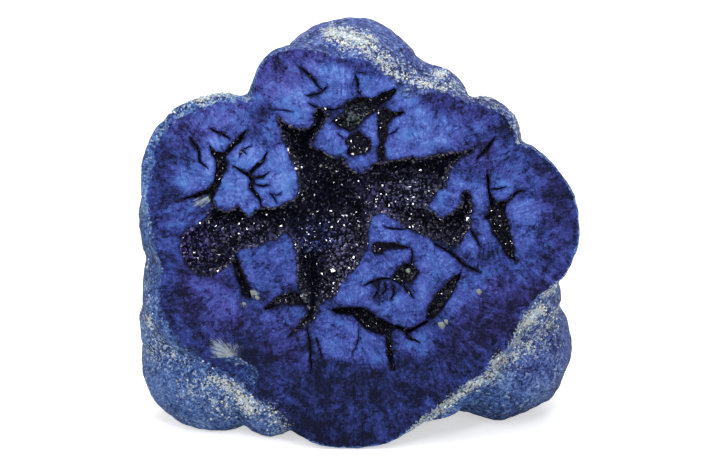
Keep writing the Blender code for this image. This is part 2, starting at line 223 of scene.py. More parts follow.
# %% [markdown]
# ## The open places in the face
# The plates of the face shrank and parted, which left a star-shaped hollow, pockets and cracks. Each
# wide one is a drawn outline (right, up, in mm); each thin one is a line with a width, which
# tapers to both ends. Noise makes every edge ragged, as broken stone is.

# %% The star-shaped hollow
STAR = (
    (-8.4, 12.3), (-7.2, 11.3), (-6.5, 10.9), (-5.7, 10.8), (-5.1, 10.9), (-4.6, 11.4),
    (-4.7, 12.1), (-4.4, 12.7), (-4.0, 13.0), (-3.4, 12.6), (-3.0, 12.2), (-3.5, 11.4),
    (-4.1, 10.4), (-4.9, 9.2), (-4.0, 8.6), (-2.8, 8.1), (-1.7, 7.8), (-1.4, 7.4),
    (-0.8, 6.7), (0.2, 6.2), (0.9, 6.8), (1.3, 7.4), (2.2, 7.5), (4.0, 7.7), (5.1, 8.0),
    (6.4, 7.8), (7.5, 8.3), (8.5, 8.4), (10.0, 8.5), (11.0, 8.8), (11.8, 9.2), (11.0, 8.4),
    (9.8, 7.6), (9.1, 6.9), (8.8, 6.1), (8.6, 4.9), (7.7, 4.6), (7.2, 3.8), (6.9, 2.8),
    (7.7, 2.3), (8.2, 1.7), (9.2, 2.6), (10.2, 3.4), (10.2, 4.5), (10.6, 4.7), (11.2, 4.0),
    (11.2, 2.4), (11.0, 0.9), (10.2, -0.4), (9.5, -1.1), (9.0, -1.2), (8.1, -0.7),
    (7.1, -0.4), (6.3, 0.2), (5.0, 0.5), (4.3, 1.0), (3.9, 1.5), (3.1, 1.9), (2.5, 2.3),
    (1.8, 2.3), (1.1, 1.8), (0.8, 0.8), (0.8, -0.2), (0.8, -1.3), (0.2, -2.1), (-0.5, -3.1),
    (-1.3, -4.1), (-1.9, -5.0), (-2.3, -6.0), (-3.5, -6.5), (-4.2, -7.0), (-4.4, -7.7),
    (-4.5, -8.5), (-5.1, -8.8), (-5.8, -9.3), (-6.6, -9.9), (-7.2, -10.4), (-6.3, -9.1),
    (-5.5, -8.3), (-5.2, -7.7), (-5.5, -6.8), (-6.0, -5.6), (-6.4, -4.7), (-6.3, -3.2),
    (-6.4, -1.7), (-6.7, -0.4), (-7.2, 0.2), (-7.9, 0.3), (-8.4, -0.2), (-9.3, -0.6),
    (-10.2, -1.1), (-11.1, -1.1), (-12.1, -1.4), (-12.5, -2.3), (-13.3, -3.2), (-14.1, -3.7),
    (-14.9, -4.1), (-16.2, -3.9), (-17.0, -3.4), (-17.6, -2.6), (-18.0, -1.4), (-18.0, -0.2),
    (-17.3, 0.7), (-16.3, 1.1), (-15.4, 1.9), (-14.9, 2.8), (-14.6, 3.5), (-14.3, 2.9),
    (-13.2, 2.5), (-12.6, 2.7), (-12.2, 3.2), (-11.7, 2.5), (-11.1, 1.9), (-10.5, 2.6),
    (-9.7, 2.8), (-8.7, 2.9), (-7.8, 3.2), (-7.0, 3.6), (-6.3, 4.2), (-6.1, 5.0),
    (-6.2, 5.7), (-6.4, 6.8), (-7.0, 7.9), (-7.4, 9.2), (-8.0, 10.9),
)
print("star hollow:", len(STAR), "corners")

# %% [markdown]
# ## Pockets and wide cracks
# Round the star the plates parted in smaller places too, most of them with a few crystals inside.
# One noise pattern could make cracks anywhere, but on this stone they have places of their own, so
# each is drawn one by one with its depth in mm.

# %% Pockets and wide cracks
POCKETS = (
    ("top_pocket", 1.7, (
        (-1.5, 13.4), (-0.1, 14.0), (1.4, 14.0), (2.5, 14.5), (3.3, 14.9), (3.6, 14.5),
        (2.9, 13.7), (2.1, 13.2), (1.7, 12.6), (0.6, 11.8), (-0.1, 10.9), (-1.0, 10.5),
        (-1.5, 10.8), (-2.2, 10.9), (-2.7, 11.5), (-2.2, 12.1), (-1.6, 12.4), (-1.7, 12.9))),
    ("star_pit", 1.1, (
        (-0.9, 10.4), (-0.1, 10.7), (0.4, 10.1), (1.0, 9.8), (1.1, 8.7), (0.6, 8.3),
        (-0.5, 8.1), (-1.4, 8.3), (-1.2, 9.0), (-1.5, 9.6))),
    ("brow_crack", 1.0, (
        (1.8, 12.8), (2.5, 13.0), (2.9, 12.6), (4.5, 12.4), (3.2, 11.8), (2.8, 11.2),
        (2.8, 10.3), (2.3, 9.2), (2.5, 8.5), (2.3, 7.4), (1.8, 7.4), (1.8, 9.7), (1.7, 11.3))),
    ("right_pocket", 1.9, (
        (12.7, 6.6), (12.9, 5.2), (13.1, 4.0), (13.7, 3.4), (14.7, 3.6), (14.5, 2.4),
        (15.0, 0.8), (15.3, -0.7), (15.5, -2.0), (15.7, -2.9), (15.1, -2.4), (14.2, -1.5),
        (13.9, -0.4), (13.2, 0.3), (13.0, 1.8), (12.2, 1.8), (12.7, 2.2), (12.9, 3.2),
        (12.7, 4.7), (12.5, 5.9))),
    ("blade_crack", 2.4, (
        (-3.0, -7.4), (-2.1, -7.3), (0.1, -7.2), (1.4, -7.9), (2.9, -8.9), (4.2, -9.4),
        (5.2, -9.4), (6.7, -8.6), (6.8, -8.9), (5.2, -9.8), (4.4, -9.8), (3.5, -9.6),
        (2.9, -9.9), (1.6, -10.1), (0.3, -9.2), (-0.8, -8.1), (-2.3, -7.9))),
    ("lower_slot", 1.5, (
        (2.7, -9.6), (3.2, -9.6), (3.2, -11.7), (3.6, -13.8), (3.1, -13.6), (2.7, -11.8))),
    ("eye_pocket", 1.4, (
        (3.1, -4.4), (3.6, -3.5), (4.4, -2.8), (5.4, -2.8), (5.9, -3.9), (5.2, -4.7),
        (4.1, -5.0))),
    ("neck_pit", 0.7, (
        (1.2, -0.8), (1.8, -0.6), (2.9, -0.6), (4.1, -0.8), (5.0, -1.1), (4.1, -1.3),
        (2.7, -1.3), (2.2, -1.9), (1.3, -1.8))),
    ("belly_crack", 1.8, (
        (10.2, -3.5), (9.1, -4.4), (7.6, -5.9), (6.8, -7.5), (6.6, -8.5), (7.3, -8.5),
        (8.3, -7.7), (9.1, -6.2), (10.0, -4.4))),
    ("crescent_crack", 1.8, (
        (-15.2, 9.4), (-14.3, 8.6), (-13.5, 8.5), (-13.2, 7.5), (-13.3, 6.7), (-13.8, 5.9),
        (-14.0, 5.2), (-14.4, 4.6), (-14.6, 3.3), (-14.9, 3.4), (-15.2, 4.1), (-16.7, 3.9),
        (-18.3, 3.5), (-16.7, 4.2), (-15.4, 4.7), (-14.7, 5.3), (-14.5, 6.0), (-14.3, 6.9),
        (-14.4, 7.7))),
    ("wedge_crack", 1.6, (
        (-13.9, 8.2), (-12.8, 9.3), (-12.0, 10.0), (-11.1, 11.0), (-11.6, 9.8),
        (-12.4, 9.0), (-13.4, 8.0))),
    ("left_crack", 1.6, (
        (-12.9, -2.4), (-12.3, -2.0), (-11.3, -4.6), (-10.8, -5.5), (-11.0, -6.4),
        (-11.8, -5.9), (-12.2, -4.6))),
    ("low_band", 1.4, (
        (-9.6, -7.3), (-8.3, -6.2), (-6.7, -5.6), (-5.8, -6.1), (-5.3, -7.2), (-5.8, -7.1),
        (-7.7, -7.0), (-9.5, -7.5))),
)
print(len(POCKETS), "pockets")

# %% [markdown]
# ## Thin cracks
# A crack thinner than half a millimetre needs no outline by hand: its middle line and its greatest
# width are enough, and a function widens the line.

# %% Thin cracks
THIN_CRACKS = (
    ("top_long", 0.30, ((-6.0, 17.0), (-5.1, 16.3), (-4.4, 15.4), (-3.7, 14.6))),
    ("top_fork", 0.16, ((-3.8, 14.5), (-3.2, 15.1))),
    ("top_back", 0.18, ((-3.7, 14.5), (-4.9, 14.1), (-5.6, 14.2))),
    ("top_drop", 0.22, ((-0.5, 16.3), (-0.2, 15.3), (-0.2, 14.6), (0.2, 14.0))),
    ("top_side", 0.14, ((-0.3, 16.5), (0.7, 16.4))),
    ("tip_line", 0.14, ((-8.9, 12.7), (-7.6, 12.7), (-6.6, 12.5))),
    ("strip_line", 0.24, ((-5.1, 13.4), (-4.4, 12.9), (-3.0, 12.7), (-1.7, 12.9))),
    ("left_roof", 0.30, ((-15.1, 10.9), (-14.0, 10.5), (-12.9, 9.8))),
    ("left_wave", 0.30, ((-16.9, 10.0), (-16.4, 9.2), (-16.0, 8.6), (-16.0, 7.7), (-15.1, 6.7))),
    ("hook", 0.44, ((-9.2, 8.5), (-9.7, 7.6), (-11.0, 6.4), (-10.6, 5.8))),
    ("hook_tail", 0.48, ((-12.7, 7.1), (-11.3, 6.3), (-10.7, 5.7), (-10.9, 4.9), (-10.2, 4.1),
                         (-9.8, 2.9))),
    ("hook_spur", 0.30, ((-10.6, 5.9), (-9.8, 6.0), (-9.0, 6.4))),
    ("hook_foot", 0.26, ((-10.6, 5.2), (-9.8, 5.0), (-9.0, 5.2))),
    ("inner_left", 0.20, ((-9.0, 4.5), (-8.3, 3.3))),
    ("inner_low", 0.18, ((-8.8, 4.2), (-8.2, 4.1), (-7.8, 4.5))),
    ("star_a", 0.24, ((-11.6, 8.9), (-12.0, 8.0))),
    ("star_b", 0.18, ((-11.9, 8.6), (-10.8, 9.1))),
    ("star_c", 0.14, ((-11.8, 8.8), (-11.3, 8.2))),
    ("right_spur", 0.28, ((14.6, 3.4), (15.6, 4.4), (16.4, 4.6))),
    ("right_blade", 0.40, ((11.6, 7.8), (12.5, 8.7), (13.4, 9.8))),
    ("right_inner", 0.24, ((11.0, 0.9), (11.5, -0.2), (12.0, -1.1))),
    ("right_upper", 0.20, ((13.0, 4.9), (13.9, 4.8), (14.7, 5.0))),
    ("waist", 0.36, ((7.1, -0.5), (9.1, -1.7), (10.4, -2.8), (12.1, -3.8))),
    ("low_tail", 0.22, ((-7.3, -10.4), (-5.8, -8.9))),
    ("stem", 0.20, ((-5.3, -9.2), (-5.0, -11.5), (-4.9, -13.9))),
    ("stem_side", 0.14, ((-4.4, -10.2), (-3.8, -12.4))),
    ("hair", 0.10, ((-0.2, -9.4), (-0.1, -10.4), (-0.8, -12.3))),
    ("slot_arm", 0.30, ((4.3, -9.6), (5.0, -10.4), (6.0, -10.9))),
    ("eye_left", 0.32, ((3.2, -4.3), (2.2, -4.3), (1.4, -4.5), (0.3, -5.1))),
    ("eye_low_a", 0.22, ((3.3, -4.9), (3.4, -5.8), (3.1, -6.6))),
    ("eye_low_b", 0.18, ((1.9, -4.5), (1.9, -5.3), (1.4, -6.3))),
    ("eye_low_c", 0.22, ((4.4, -5.0), (4.9, -5.7), (5.3, -6.4))),
    ("eye_web", 0.16, ((2.4, -4.6), (2.6, -5.4), (2.3, -6.0))),
    ("eye_top", 0.18, ((4.9, -0.9), (5.3, -1.8), (5.2, -2.9))),
    ("neck_lens", 0.26, ((2.3, 1.0), (3.4, 0.7), (4.7, 0.7))),
    ("star_plate", 0.16, ((-2.3, 10.4), (-1.6, 9.9))),
    ("brow_vein", 0.18, ((2.8, 10.2), (3.4, 10.4), (3.8, 10.9))),
    ("keel_dash", 0.14, ((-19.0, -13.2), (-18.9, -14.1))),
)
print(len(THIN_CRACKS), "thin cracks")

# %% [markdown]
# ## Ragged edges
# A drawn outline has corners some millimetres apart. It is cut into short steps, and each step
# is pushed sideways by noise of its own place, so an edge drawn twice is ragged in the same way.

# %% Ragged outlines
STEP = 0.15
RAGGED = ((1.1, 0.16), (0.33, 0.09))


def walk(corners, step, closed):
    """Points along a line of corners, about one step apart."""
    ends = corners[1:] + corners[:1] if closed else corners[1:]
    track = []
    for (x0, y0), (x1, y1) in zip(corners, ends):
        pieces = max(1, round(math.hypot(x1 - x0, y1 - y0) / step))
        track += [(x0 + (x1 - x0) * k / pieces, y0 + (y1 - y0) * k / pieces)
                  for k in range(pieces)]
    return track if closed else track + [corners[-1]]


def rough_shift(right, up, amounts=RAGGED):
    """A small push, the same wherever the same place is asked for."""
    push = [0.0, 0.0]
    for size, amount in amounts:
        for axis, level in enumerate((3.1, 17.7)):
            push[axis] += amount * noise.noise(Vector((right / size, up / size, level + size)))
    return push


def ragged(corners, amounts=RAGGED):
    """A closed outline with broken edges."""
    track = walk(corners, STEP, closed=True)
    shifts = [rough_shift(right, up, amounts) for right, up in track]
    return np.array([(x + dx, y + dy) for (x, y), (dx, dy) in zip(track, shifts)])


def thin_outline(corners, width):
    """The outline of a thin crack: widest in its middle, tapered to both ends."""
    track = np.array(walk(corners, STEP, closed=False))
    for _ in range(3):
        track[1:-1] = (track[:-2] + 2 * track[1:-1] + track[2:]) / 4
    wobble = ((0.8, 0.10), (0.25, 0.05))
    track = track + np.array([rough_shift(*place, wobble) for place in track])
    along = np.gradient(track, axis=0)
    along /= np.linalg.norm(along, axis=1, keepdims=True)
    sideways = np.column_stack((-along[:, 1], along[:, 0]))
    share = np.linspace(0, 1, len(track))
    half = width / 2 * np.sqrt(np.sin(math.pi * np.clip(share, 0.03, 0.97)))
    half *= 1 + 0.35 * np.array([noise.noise(Vector((*place * 2.2, 3.0))) for place in track])
    left = track + sideways * half[:, None]
    right = track - sideways * half[:, None]
    return np.concatenate((left, right[::-1]))


class Void:
    """An open place in the face: its outline, its depth and how wide its walls slope."""

    def __init__(self, name, outline, depth, wall):
        """Keep the four values; depth and wall are in mm."""
        self.name, self.outline, self.depth, self.wall = name, outline, depth, wall


STAR_DEPTH = 3.0
WALL = 0.16
POCKET_WALL = 1.3 * WALL
VOIDS = [Void("star", ragged(STAR), STAR_DEPTH, WALL)]
VOIDS += [Void(name, ragged(edge), depth, POCKET_WALL) for name, depth, edge in POCKETS]
VOIDS += [Void(name, thin_outline(line, width), 0.25 + 1.8 * width, width / 2)
          for name, width, line in THIN_CRACKS]
print(len(VOIDS), "voids with", sum(len(void.outline) for void in VOIDS), "edge points")

# %% [markdown]
# ## Inside or outside
# Many steps ask how far a point lies inside an outline. Blender's own tools answer for one point at
# a time; NumPy answers for thousands at once, in chunks that fit the memory. A soft mask turns such
# distances into shares from 0 to 1 with soft limits, as paint that was dabbed on would have.

# %% How far inside an outline a point lies
CHUNK = 3000


def inside_by(points, outline, reach=1.0):
    """Distance to an outline, positive inside; far points are minus the reach."""
    result = np.full(len(points), -reach)
    low, high = outline.min(0) - reach, outline.max(0) + reach
    near = np.flatnonzero(((points > low) & (points < high)).all(1))
    start = outline
    run = np.roll(outline, -1, axis=0) - start
    length = np.maximum((run ** 2).sum(1), 1e-12)
    for first in range(0, len(near), CHUNK):
        rows = near[first:first + CHUNK]
        off = points[rows][:, None, :] - start[None]
        share = np.clip((off * run).sum(2) / length, 0, 1)
        apart = np.sqrt(((off - share[..., None] * run) ** 2).sum(2)).min(1)
        above = off[..., 1] < 0
        above_next = off[..., 1] < run[:, 1]
        crosses = above != above_next
        slope = np.where(run[:, 1] == 0, 1e-12, run[:, 1])
        meets = off[..., 0] < run[:, 0] * off[..., 1] / slope
        inside = (crosses & meets).sum(1) % 2 == 1
        result[rows] = np.where(inside, apart, -apart)
    return np.maximum(result, -reach)


def soft_mask(points, outlines, softness):
    """How far each point lies in soft outlines that may overlap, from 0 to 1."""
    left = np.ones(len(points))
    for strength, corners in outlines:
        inside = inside_by(points, np.array(corners), softness)
        share = np.clip(0.5 + inside / softness, 0, 1)
        left *= 1 - strength * share * share * (3 - 2 * share)
    return 1 - left


probe = inside_by(np.array([(-2.0, 3.0), (5.0, -2.0)]), VOIDS[0].outline)
print("middle of the hollow lies", probe.round(2), "mm inside")

# %% [markdown]
# ## How deep the hollow goes
# The druse follows broad lows and highs: a deep chamber behind the middle, dark gaps under the
# overhanging edges, and mounds that catch the light. It could be sculpted; soft hills and dales added
# up by a formula (a middle, a reach and a depth in mm) are easier to move one by one. The same numbers
# shape the stone's floor, half a millimetre lower, so the crust always lies on stone.

# %% Lows and highs of the druse
LOWS = (
    ("chamber", (-2.2, 3.6), (3.6, 3.4), 6.0),
    ("right_of_chamber", (-0.6, 1.8), (1.3, 2.6), 2.6),
    ("under_brow", (4.5, 6.6), (4.6, 1.1), 2.6),
    ("upper_arm", (-5.4, 9.4), (1.8, 2.6), 3.5),
    ("lower_arm", (-4.9, -5.6), (1.2, 3.6), 4.5),
    ("left_arm_top", (-10.5, 2.0), (5.2, 0.9), 2.6),
    ("right_low_arm", (7.2, 1.2), (3.8, 1.0), 1.6),
    ("right_tip", (10.9, 2.6), (0.6, 1.6), 1.0),
    ("mound", (4.4, 3.7), (2.8, 1.3), -0.9),
    ("slope", (-1.6, -2.6), (1.3, 2.6), -1.0),
    ("blue_floor", (-4.4, -0.8), (2.0, 1.2), -0.4),
    ("left_floor", (-12.0, -0.2), (3.0, 0.9), -0.3),
    ("left_shelf", (-16.6, -1.4), (1.6, 2.6), -0.7),
)
LEDGE = 1.7
CRUST_WALL = 0.45
UNDER_CRUST = 0.5


def rolling(points, size, amount, seed):
    """Smooth noise at each point."""
    return amount * np.array([noise.noise(Vector((x / size, y / size, seed))) for x, y in points])


def steep(inside, wall):
    """0 at an edge, 1 from the wall's width inwards, steepest at the edge."""
    return 1 - (1 - np.clip(inside / wall, 0, 1)) ** 2


def druse_depth(points):
    """Depth of the druse's surface, the walls left out."""
    depth = LEDGE + rolling(points, 2.4, 0.55, 1.0) + rolling(points, 0.8, 0.28, 2.0)
    for _, middle, reach, more in LOWS:
        off = (points - middle) / reach
        depth = depth + more * np.exp(-(off ** 2).sum(1))
    return np.maximum(depth, 0.5)


middle_depth = druse_depth(np.array([(-2.2, 3.6), (5.0, 4.0), (-17.0, -1.0)]))
print("druse depth at the chamber, the mound and the shelf:", middle_depth.round(1), "mm")

# %% [markdown]
# ## The sawn face
# Flat triangles fill the sawn edge. They keep the outlines of all open places, and their points are
# closest together round those; the points inside an outline are then pushed down into the stone.
# Cutting some fifty holes with booleans would be slow and could leave slivers. A triangulation that
# keeps the outlines' edges makes the same holes in one go.

# %% Points on the face
SPACING = 0.32
SPARSEST = 0.13
dice = np.random.default_rng(7)


def lattice(low, high, spacing):
    """Jittered points on a triangular grid."""
    rows = np.arange(low[1], high[1], spacing * 0.866)
    right, up = np.meshgrid(np.arange(low[0], high[0], spacing), rows)
    right = right + (np.arange(len(rows)) % 2)[:, None] * spacing / 2
    points = np.column_stack((right.ravel(), up.ravel()))
    return points + dice.uniform(-0.28, 0.28, points.shape) * spacing


def beside(outline, shift):
    """An outline's points moved inwards by a shift in mm, outwards where it is negative."""
    after = np.roll(outline, -1, axis=0)
    turn = (outline[:, 0] * after[:, 1] - outline[:, 1] * after[:, 0]).sum()
    along = after - np.roll(outline, 1, axis=0)
    along /= np.maximum(np.linalg.norm(along, axis=1, keepdims=True), 1e-9)
    inwards = np.column_stack((-along[:, 1], along[:, 0])) * math.copysign(1.0, turn)
    moved = outline + inwards * shift
    return moved[np.sign(shift) * inside_by(moved, outline) > 0.7 * abs(shift)]


def thinned(points, cell):
    """At most one point in each square cell."""
    _, kept = np.unique(np.round(points / cell).astype(int), axis=0, return_index=True)
    return points[np.sort(kept)]


def triangulate(rings, loose):
    """Triangles through closed rings, whose edges are kept, and loose points."""
    places = [Vector(place) for ring in rings for place in ring] + [Vector(place) for place in loose]
    edges = []
    for ring in rings:
        start = edges[-1][0] + 1 if edges else 0
        edges += [(start + k, start + (k + 1) % len(ring)) for k in range(len(ring))]
    places, _, faces, *_ = geometry.delaunay_2d_cdt(places, edges, [], 0, 1e-4)
    return np.array(places), np.array(faces)


def face_points():
    """Loose points of the face: an even grid, with rows beside each outline."""
    grid = lattice(RIM.min(0), RIM.max(0), SPACING)
    beside_edges = [beside(void.outline, shift) for void in VOIDS for shift in (-0.14, -0.34)]
    inner = [beside(void.outline, void.wall * share) for void in VOIDS for share in (0.35, 0.98)]
    loose = thinned(np.concatenate(inner + beside_edges + [grid]), SPARSEST)
    return loose[inside_by(loose, RIM) > 0.1]


face_places, face_faces = triangulate([RIM] + [void.outline for void in VOIDS], face_points())
middles = face_places[face_faces].mean(axis=1)
face_faces = face_faces[inside_by(middles, RIM) > 0]
print("sawn face:", len(face_places), "points,", len(face_faces), "triangles")

# %% [markdown]
# ## The walls and floors of the open places
# The stone's walls drop steeply from the polish and end on an uneven floor, with mounds (a middle, a
# reach and a share of the depth) where the photograph shows one. Pushing each point down by a formula
# of its distance from the edge keeps the mesh whole, which extruding each hole wouldn't. The distance
# itself is kept as well: it later darkens the face close to a crack.

# %% Push the open places down
FAR = 3.0
MOUNDS = (
    ((-0.8, 11.9), (1.1, 0.9), 0.75), ((5.0, -3.8), (0.5, 0.4), 0.5), ((14.0, 1.8), (0.7, 1.2), 0.35),
    ((-0.2, 9.3), (0.6, 0.6), 0.35), ((-7.6, -6.7), (1.4, 0.4), 0.4), ((9.0, -5.4), (0.8, 1.2), 0.3),
    ((-13.9, 7.4), (0.5, 0.8), 0.4),
)


def void_fields(points):
    """Depth at each point, and its distance from the nearest edge of an open place."""
    depth = np.zeros(len(points))
    gap = np.full(len(points), FAR)
    floor = 1 + rolling(points, 0.9, 0.35, 5.0)
    for middle, reach, lift in MOUNDS:
        floor -= lift * np.exp(-(((points - middle) / reach) ** 2).sum(1))
    for void in VOIDS:
        inside = inside_by(points, void.outline, FAR)
        gap = np.where(np.abs(inside) < np.abs(gap), -inside, gap)
        held = np.flatnonzero(inside > 0)
        if void.name == "star":
            down = druse_depth(points[held]) + UNDER_CRUST
        else:
            down = void.depth * floor[held]
        depth[held] = np.maximum(depth[held], down * steep(inside[held], void.wall))
    return depth, np.where(depth > 0, -np.abs(gap), np.abs(gap))


face_depth, face_gap = void_fields(face_places)
print("deepest point", face_depth.max().round(2), "mm behind the face")

# %% [markdown]
# ## Shoulders
# Beside the rind's seams the real face isn't flat to its very edge: the stone rounds off and steps
# back a little, and the polish ends there. A bevel would do that evenly all round. Drawn outlines
# put it only where the photograph has it, each with its step back and its width in mm. At soft
# rims the polish fades out instead of ending in a line.

# %% Shoulders
SHOULDERS = (
    ("low_right", 2.2, 2.6, ((21.6, -3.6), (20.3, -4.6), (18.9, -5.5), (17.2, -6.8),
     (16.4, -8.0), (15.9, -9.6), (15.4, -11.3), (14.2, -12.0), (13.4, -13.6), (11.2, -14.6),
     (10.0, -15.8), (8.9, -17.0), (7.0, -18.5), (5.8, -19.5), (4.4, -20.6), (4.4, -26.0),
     (27.0, -26.0), (27.0, -3.6))),
    ("upper_left", 1.3, 1.2, ((-18.6, 11.0), (-17.0, 12.4), (-14.8, 13.1), (-12.6, 13.4),
     (-11.0, 13.9), (-10.6, 18.0), (-22.0, 18.0))),
    ("left", 0.9, 1.0, ((-18.6, 11.0), (-20.2, 8.4), (-20.8, 4.0), (-20.7, 0.0), (-20.0, -3.0),
     (-19.6, -7.0), (-18.9, -9.4), (-17.2, -11.4), (-18.0, -14.0), (-26.0, -14.0),
     (-26.0, 18.0), (-22.0, 18.0))),
    ("low_left", 1.2, 1.4, ((-18.9, -9.4), (-17.2, -11.2), (-14.6, -12.9), (-12.5, -13.8),
     (-11.0, -15.3), (-9.5, -16.6), (-8.0, -18.2), (-6.5, -19.8), (-5.5, -20.8),
     (-5.5, -26.0), (-26.0, -26.0), (-26.0, -9.4))),
)
SHOULDER_FADE = 5.0
SHOULDER_LIP = 0.12
SOFT_RIMS = (
    (1.0, ((-18.8, -10.6), (-16.4, -11.4), (-13.6, -12.6), (-11.4, -13.4), (-9.4, -15.0),
           (-7.0, -17.6), (-5.0, -20.0), (-6.0, -22.0), (-11.0, -19.0), (-15.0, -16.0),
           (-19.0, -13.0))),
    (0.6, ((-21.8, -4.0), (-19.6, -4.0), (-17.6, -9.0), (-18.6, -11.0), (-21.0, -9.0))),
    (0.5, ((-20.4, 2.0), (-19.4, 8.0), (-17.0, 12.0), (-19.4, 12.0), (-22.0, 6.0),
           (-22.0, 2.0))),
)
RIM_SOFTNESS = 1.6
RIM_FADE = 1.3
print(len(SHOULDERS), "shoulders and", len(SOFT_RIMS), "soft rims")

# %% How far the face steps back
def shoulder_fields(places):
    """How far each point steps back where the stone rounds off, and how much is rind there."""
    back = np.zeros(len(places))
    bare = np.zeros(len(places))
    fade = np.clip(1 + places[:, 2] / SHOULDER_FADE, 0, 1)
    near = np.flatnonzero(fade > 0)
    soft = np.zeros(len(places))
    soft[near] = soft_mask(places[near, :2], SOFT_RIMS, RIM_SOFTNESS)
    for _, drop, width, edge in SHOULDERS:
        outline = ragged(edge, ((1.6, 0.35), (0.5, 0.16)))
        inside = np.maximum(inside_by(places[near, :2], outline, 4.0), 0)
        share = np.clip(inside / width, 0, 1)
        step = drop * share * (2 - share) * 0.5 + SHOULDER_LIP * (inside > 0)
        back[near] = np.maximum(back[near], step)
        bare[near] = np.maximum(bare[near], inside / (0.15 + RIM_FADE * soft[near]))
    return back * fade, np.clip(bare, 0, 1)


def triangle_rows(mesh):
    """The three point numbers of each triangle, and each triangle's slot: 1 on the sawn face."""
    rows = np.zeros(len(mesh.polygons) * 3, dtype=int)
    slots = np.zeros(len(mesh.polygons), dtype=int)
    mesh.polygons.foreach_get("vertices", rows)
    mesh.polygons.foreach_get("material_index", slots)
    return rows.reshape(-1, 3), slots


def rim_bareness(mesh):
    """1 on the rind and 0 on the face; at a soft rim the polish dies away below the saw's edge."""
    bare = np.zeros(len(flat_places))
    rows, slots = triangle_rows(mesh)
    rind_points = np.unique(rows[slots == 0])
    soft = soft_mask(flat_places[rind_points, :2], SOFT_RIMS, RIM_SOFTNESS)
    share = np.clip(-flat_places[rind_points, 2] / (2 * RIM_FADE), 0, 1)
    bare[rind_points] = 1 - soft * (1 - share)
    return bare


print("the polish can fade over", round(2 * RIM_FADE, 1), "mm")

# %% [markdown]
# ## Closing the stone
# The face's triangles join the rind's bmesh, and the doubled points along the saw's edge are welded.
# The stone then has no open edge, as a solid body should. The face's triangles get slot 1, which
# tells the later steps what was sawn and what grew.

# %% Close the stone
WELD = 0.03


def close_stone(bm):
    """Add the face to the rind and weld the two at the saw's edge."""
    corners = [bm.verts.new((x, y, -down)) for (x, y), down in zip(face_places, face_depth)]
    for a, b, c in face_faces:
        bm.faces.new((corners[a], corners[b], corners[c])).material_index = 1
    seam = [vert for vert in bm.verts if vert.is_boundary]
    bmesh.ops.remove_doubles(bm, verts=seam, dist=WELD)
    loose = [vert for vert in bm.verts if not vert.link_faces]
    bmesh.ops.delete(bm, geom=loose, context="VERTS")
    return sum(edge.is_boundary for edge in bm.edges)


open_edges = close_stone(rind)
stone_mesh = bpy.data.meshes.new("stone")
rind.to_mesh(stone_mesh)
rind.free()
flat_places = mesh_arrays(stone_mesh)
step_back, rindness = shoulder_fields(flat_places)
rindness = np.maximum(rindness, rim_bareness(stone_mesh))
stone_mesh.vertices.foreach_set("co", (flat_places - step_back[:, None] * (0, 0, 1)).ravel())
print("stone:", len(stone_mesh.polygons), "triangles,", open_edges, "open edges")
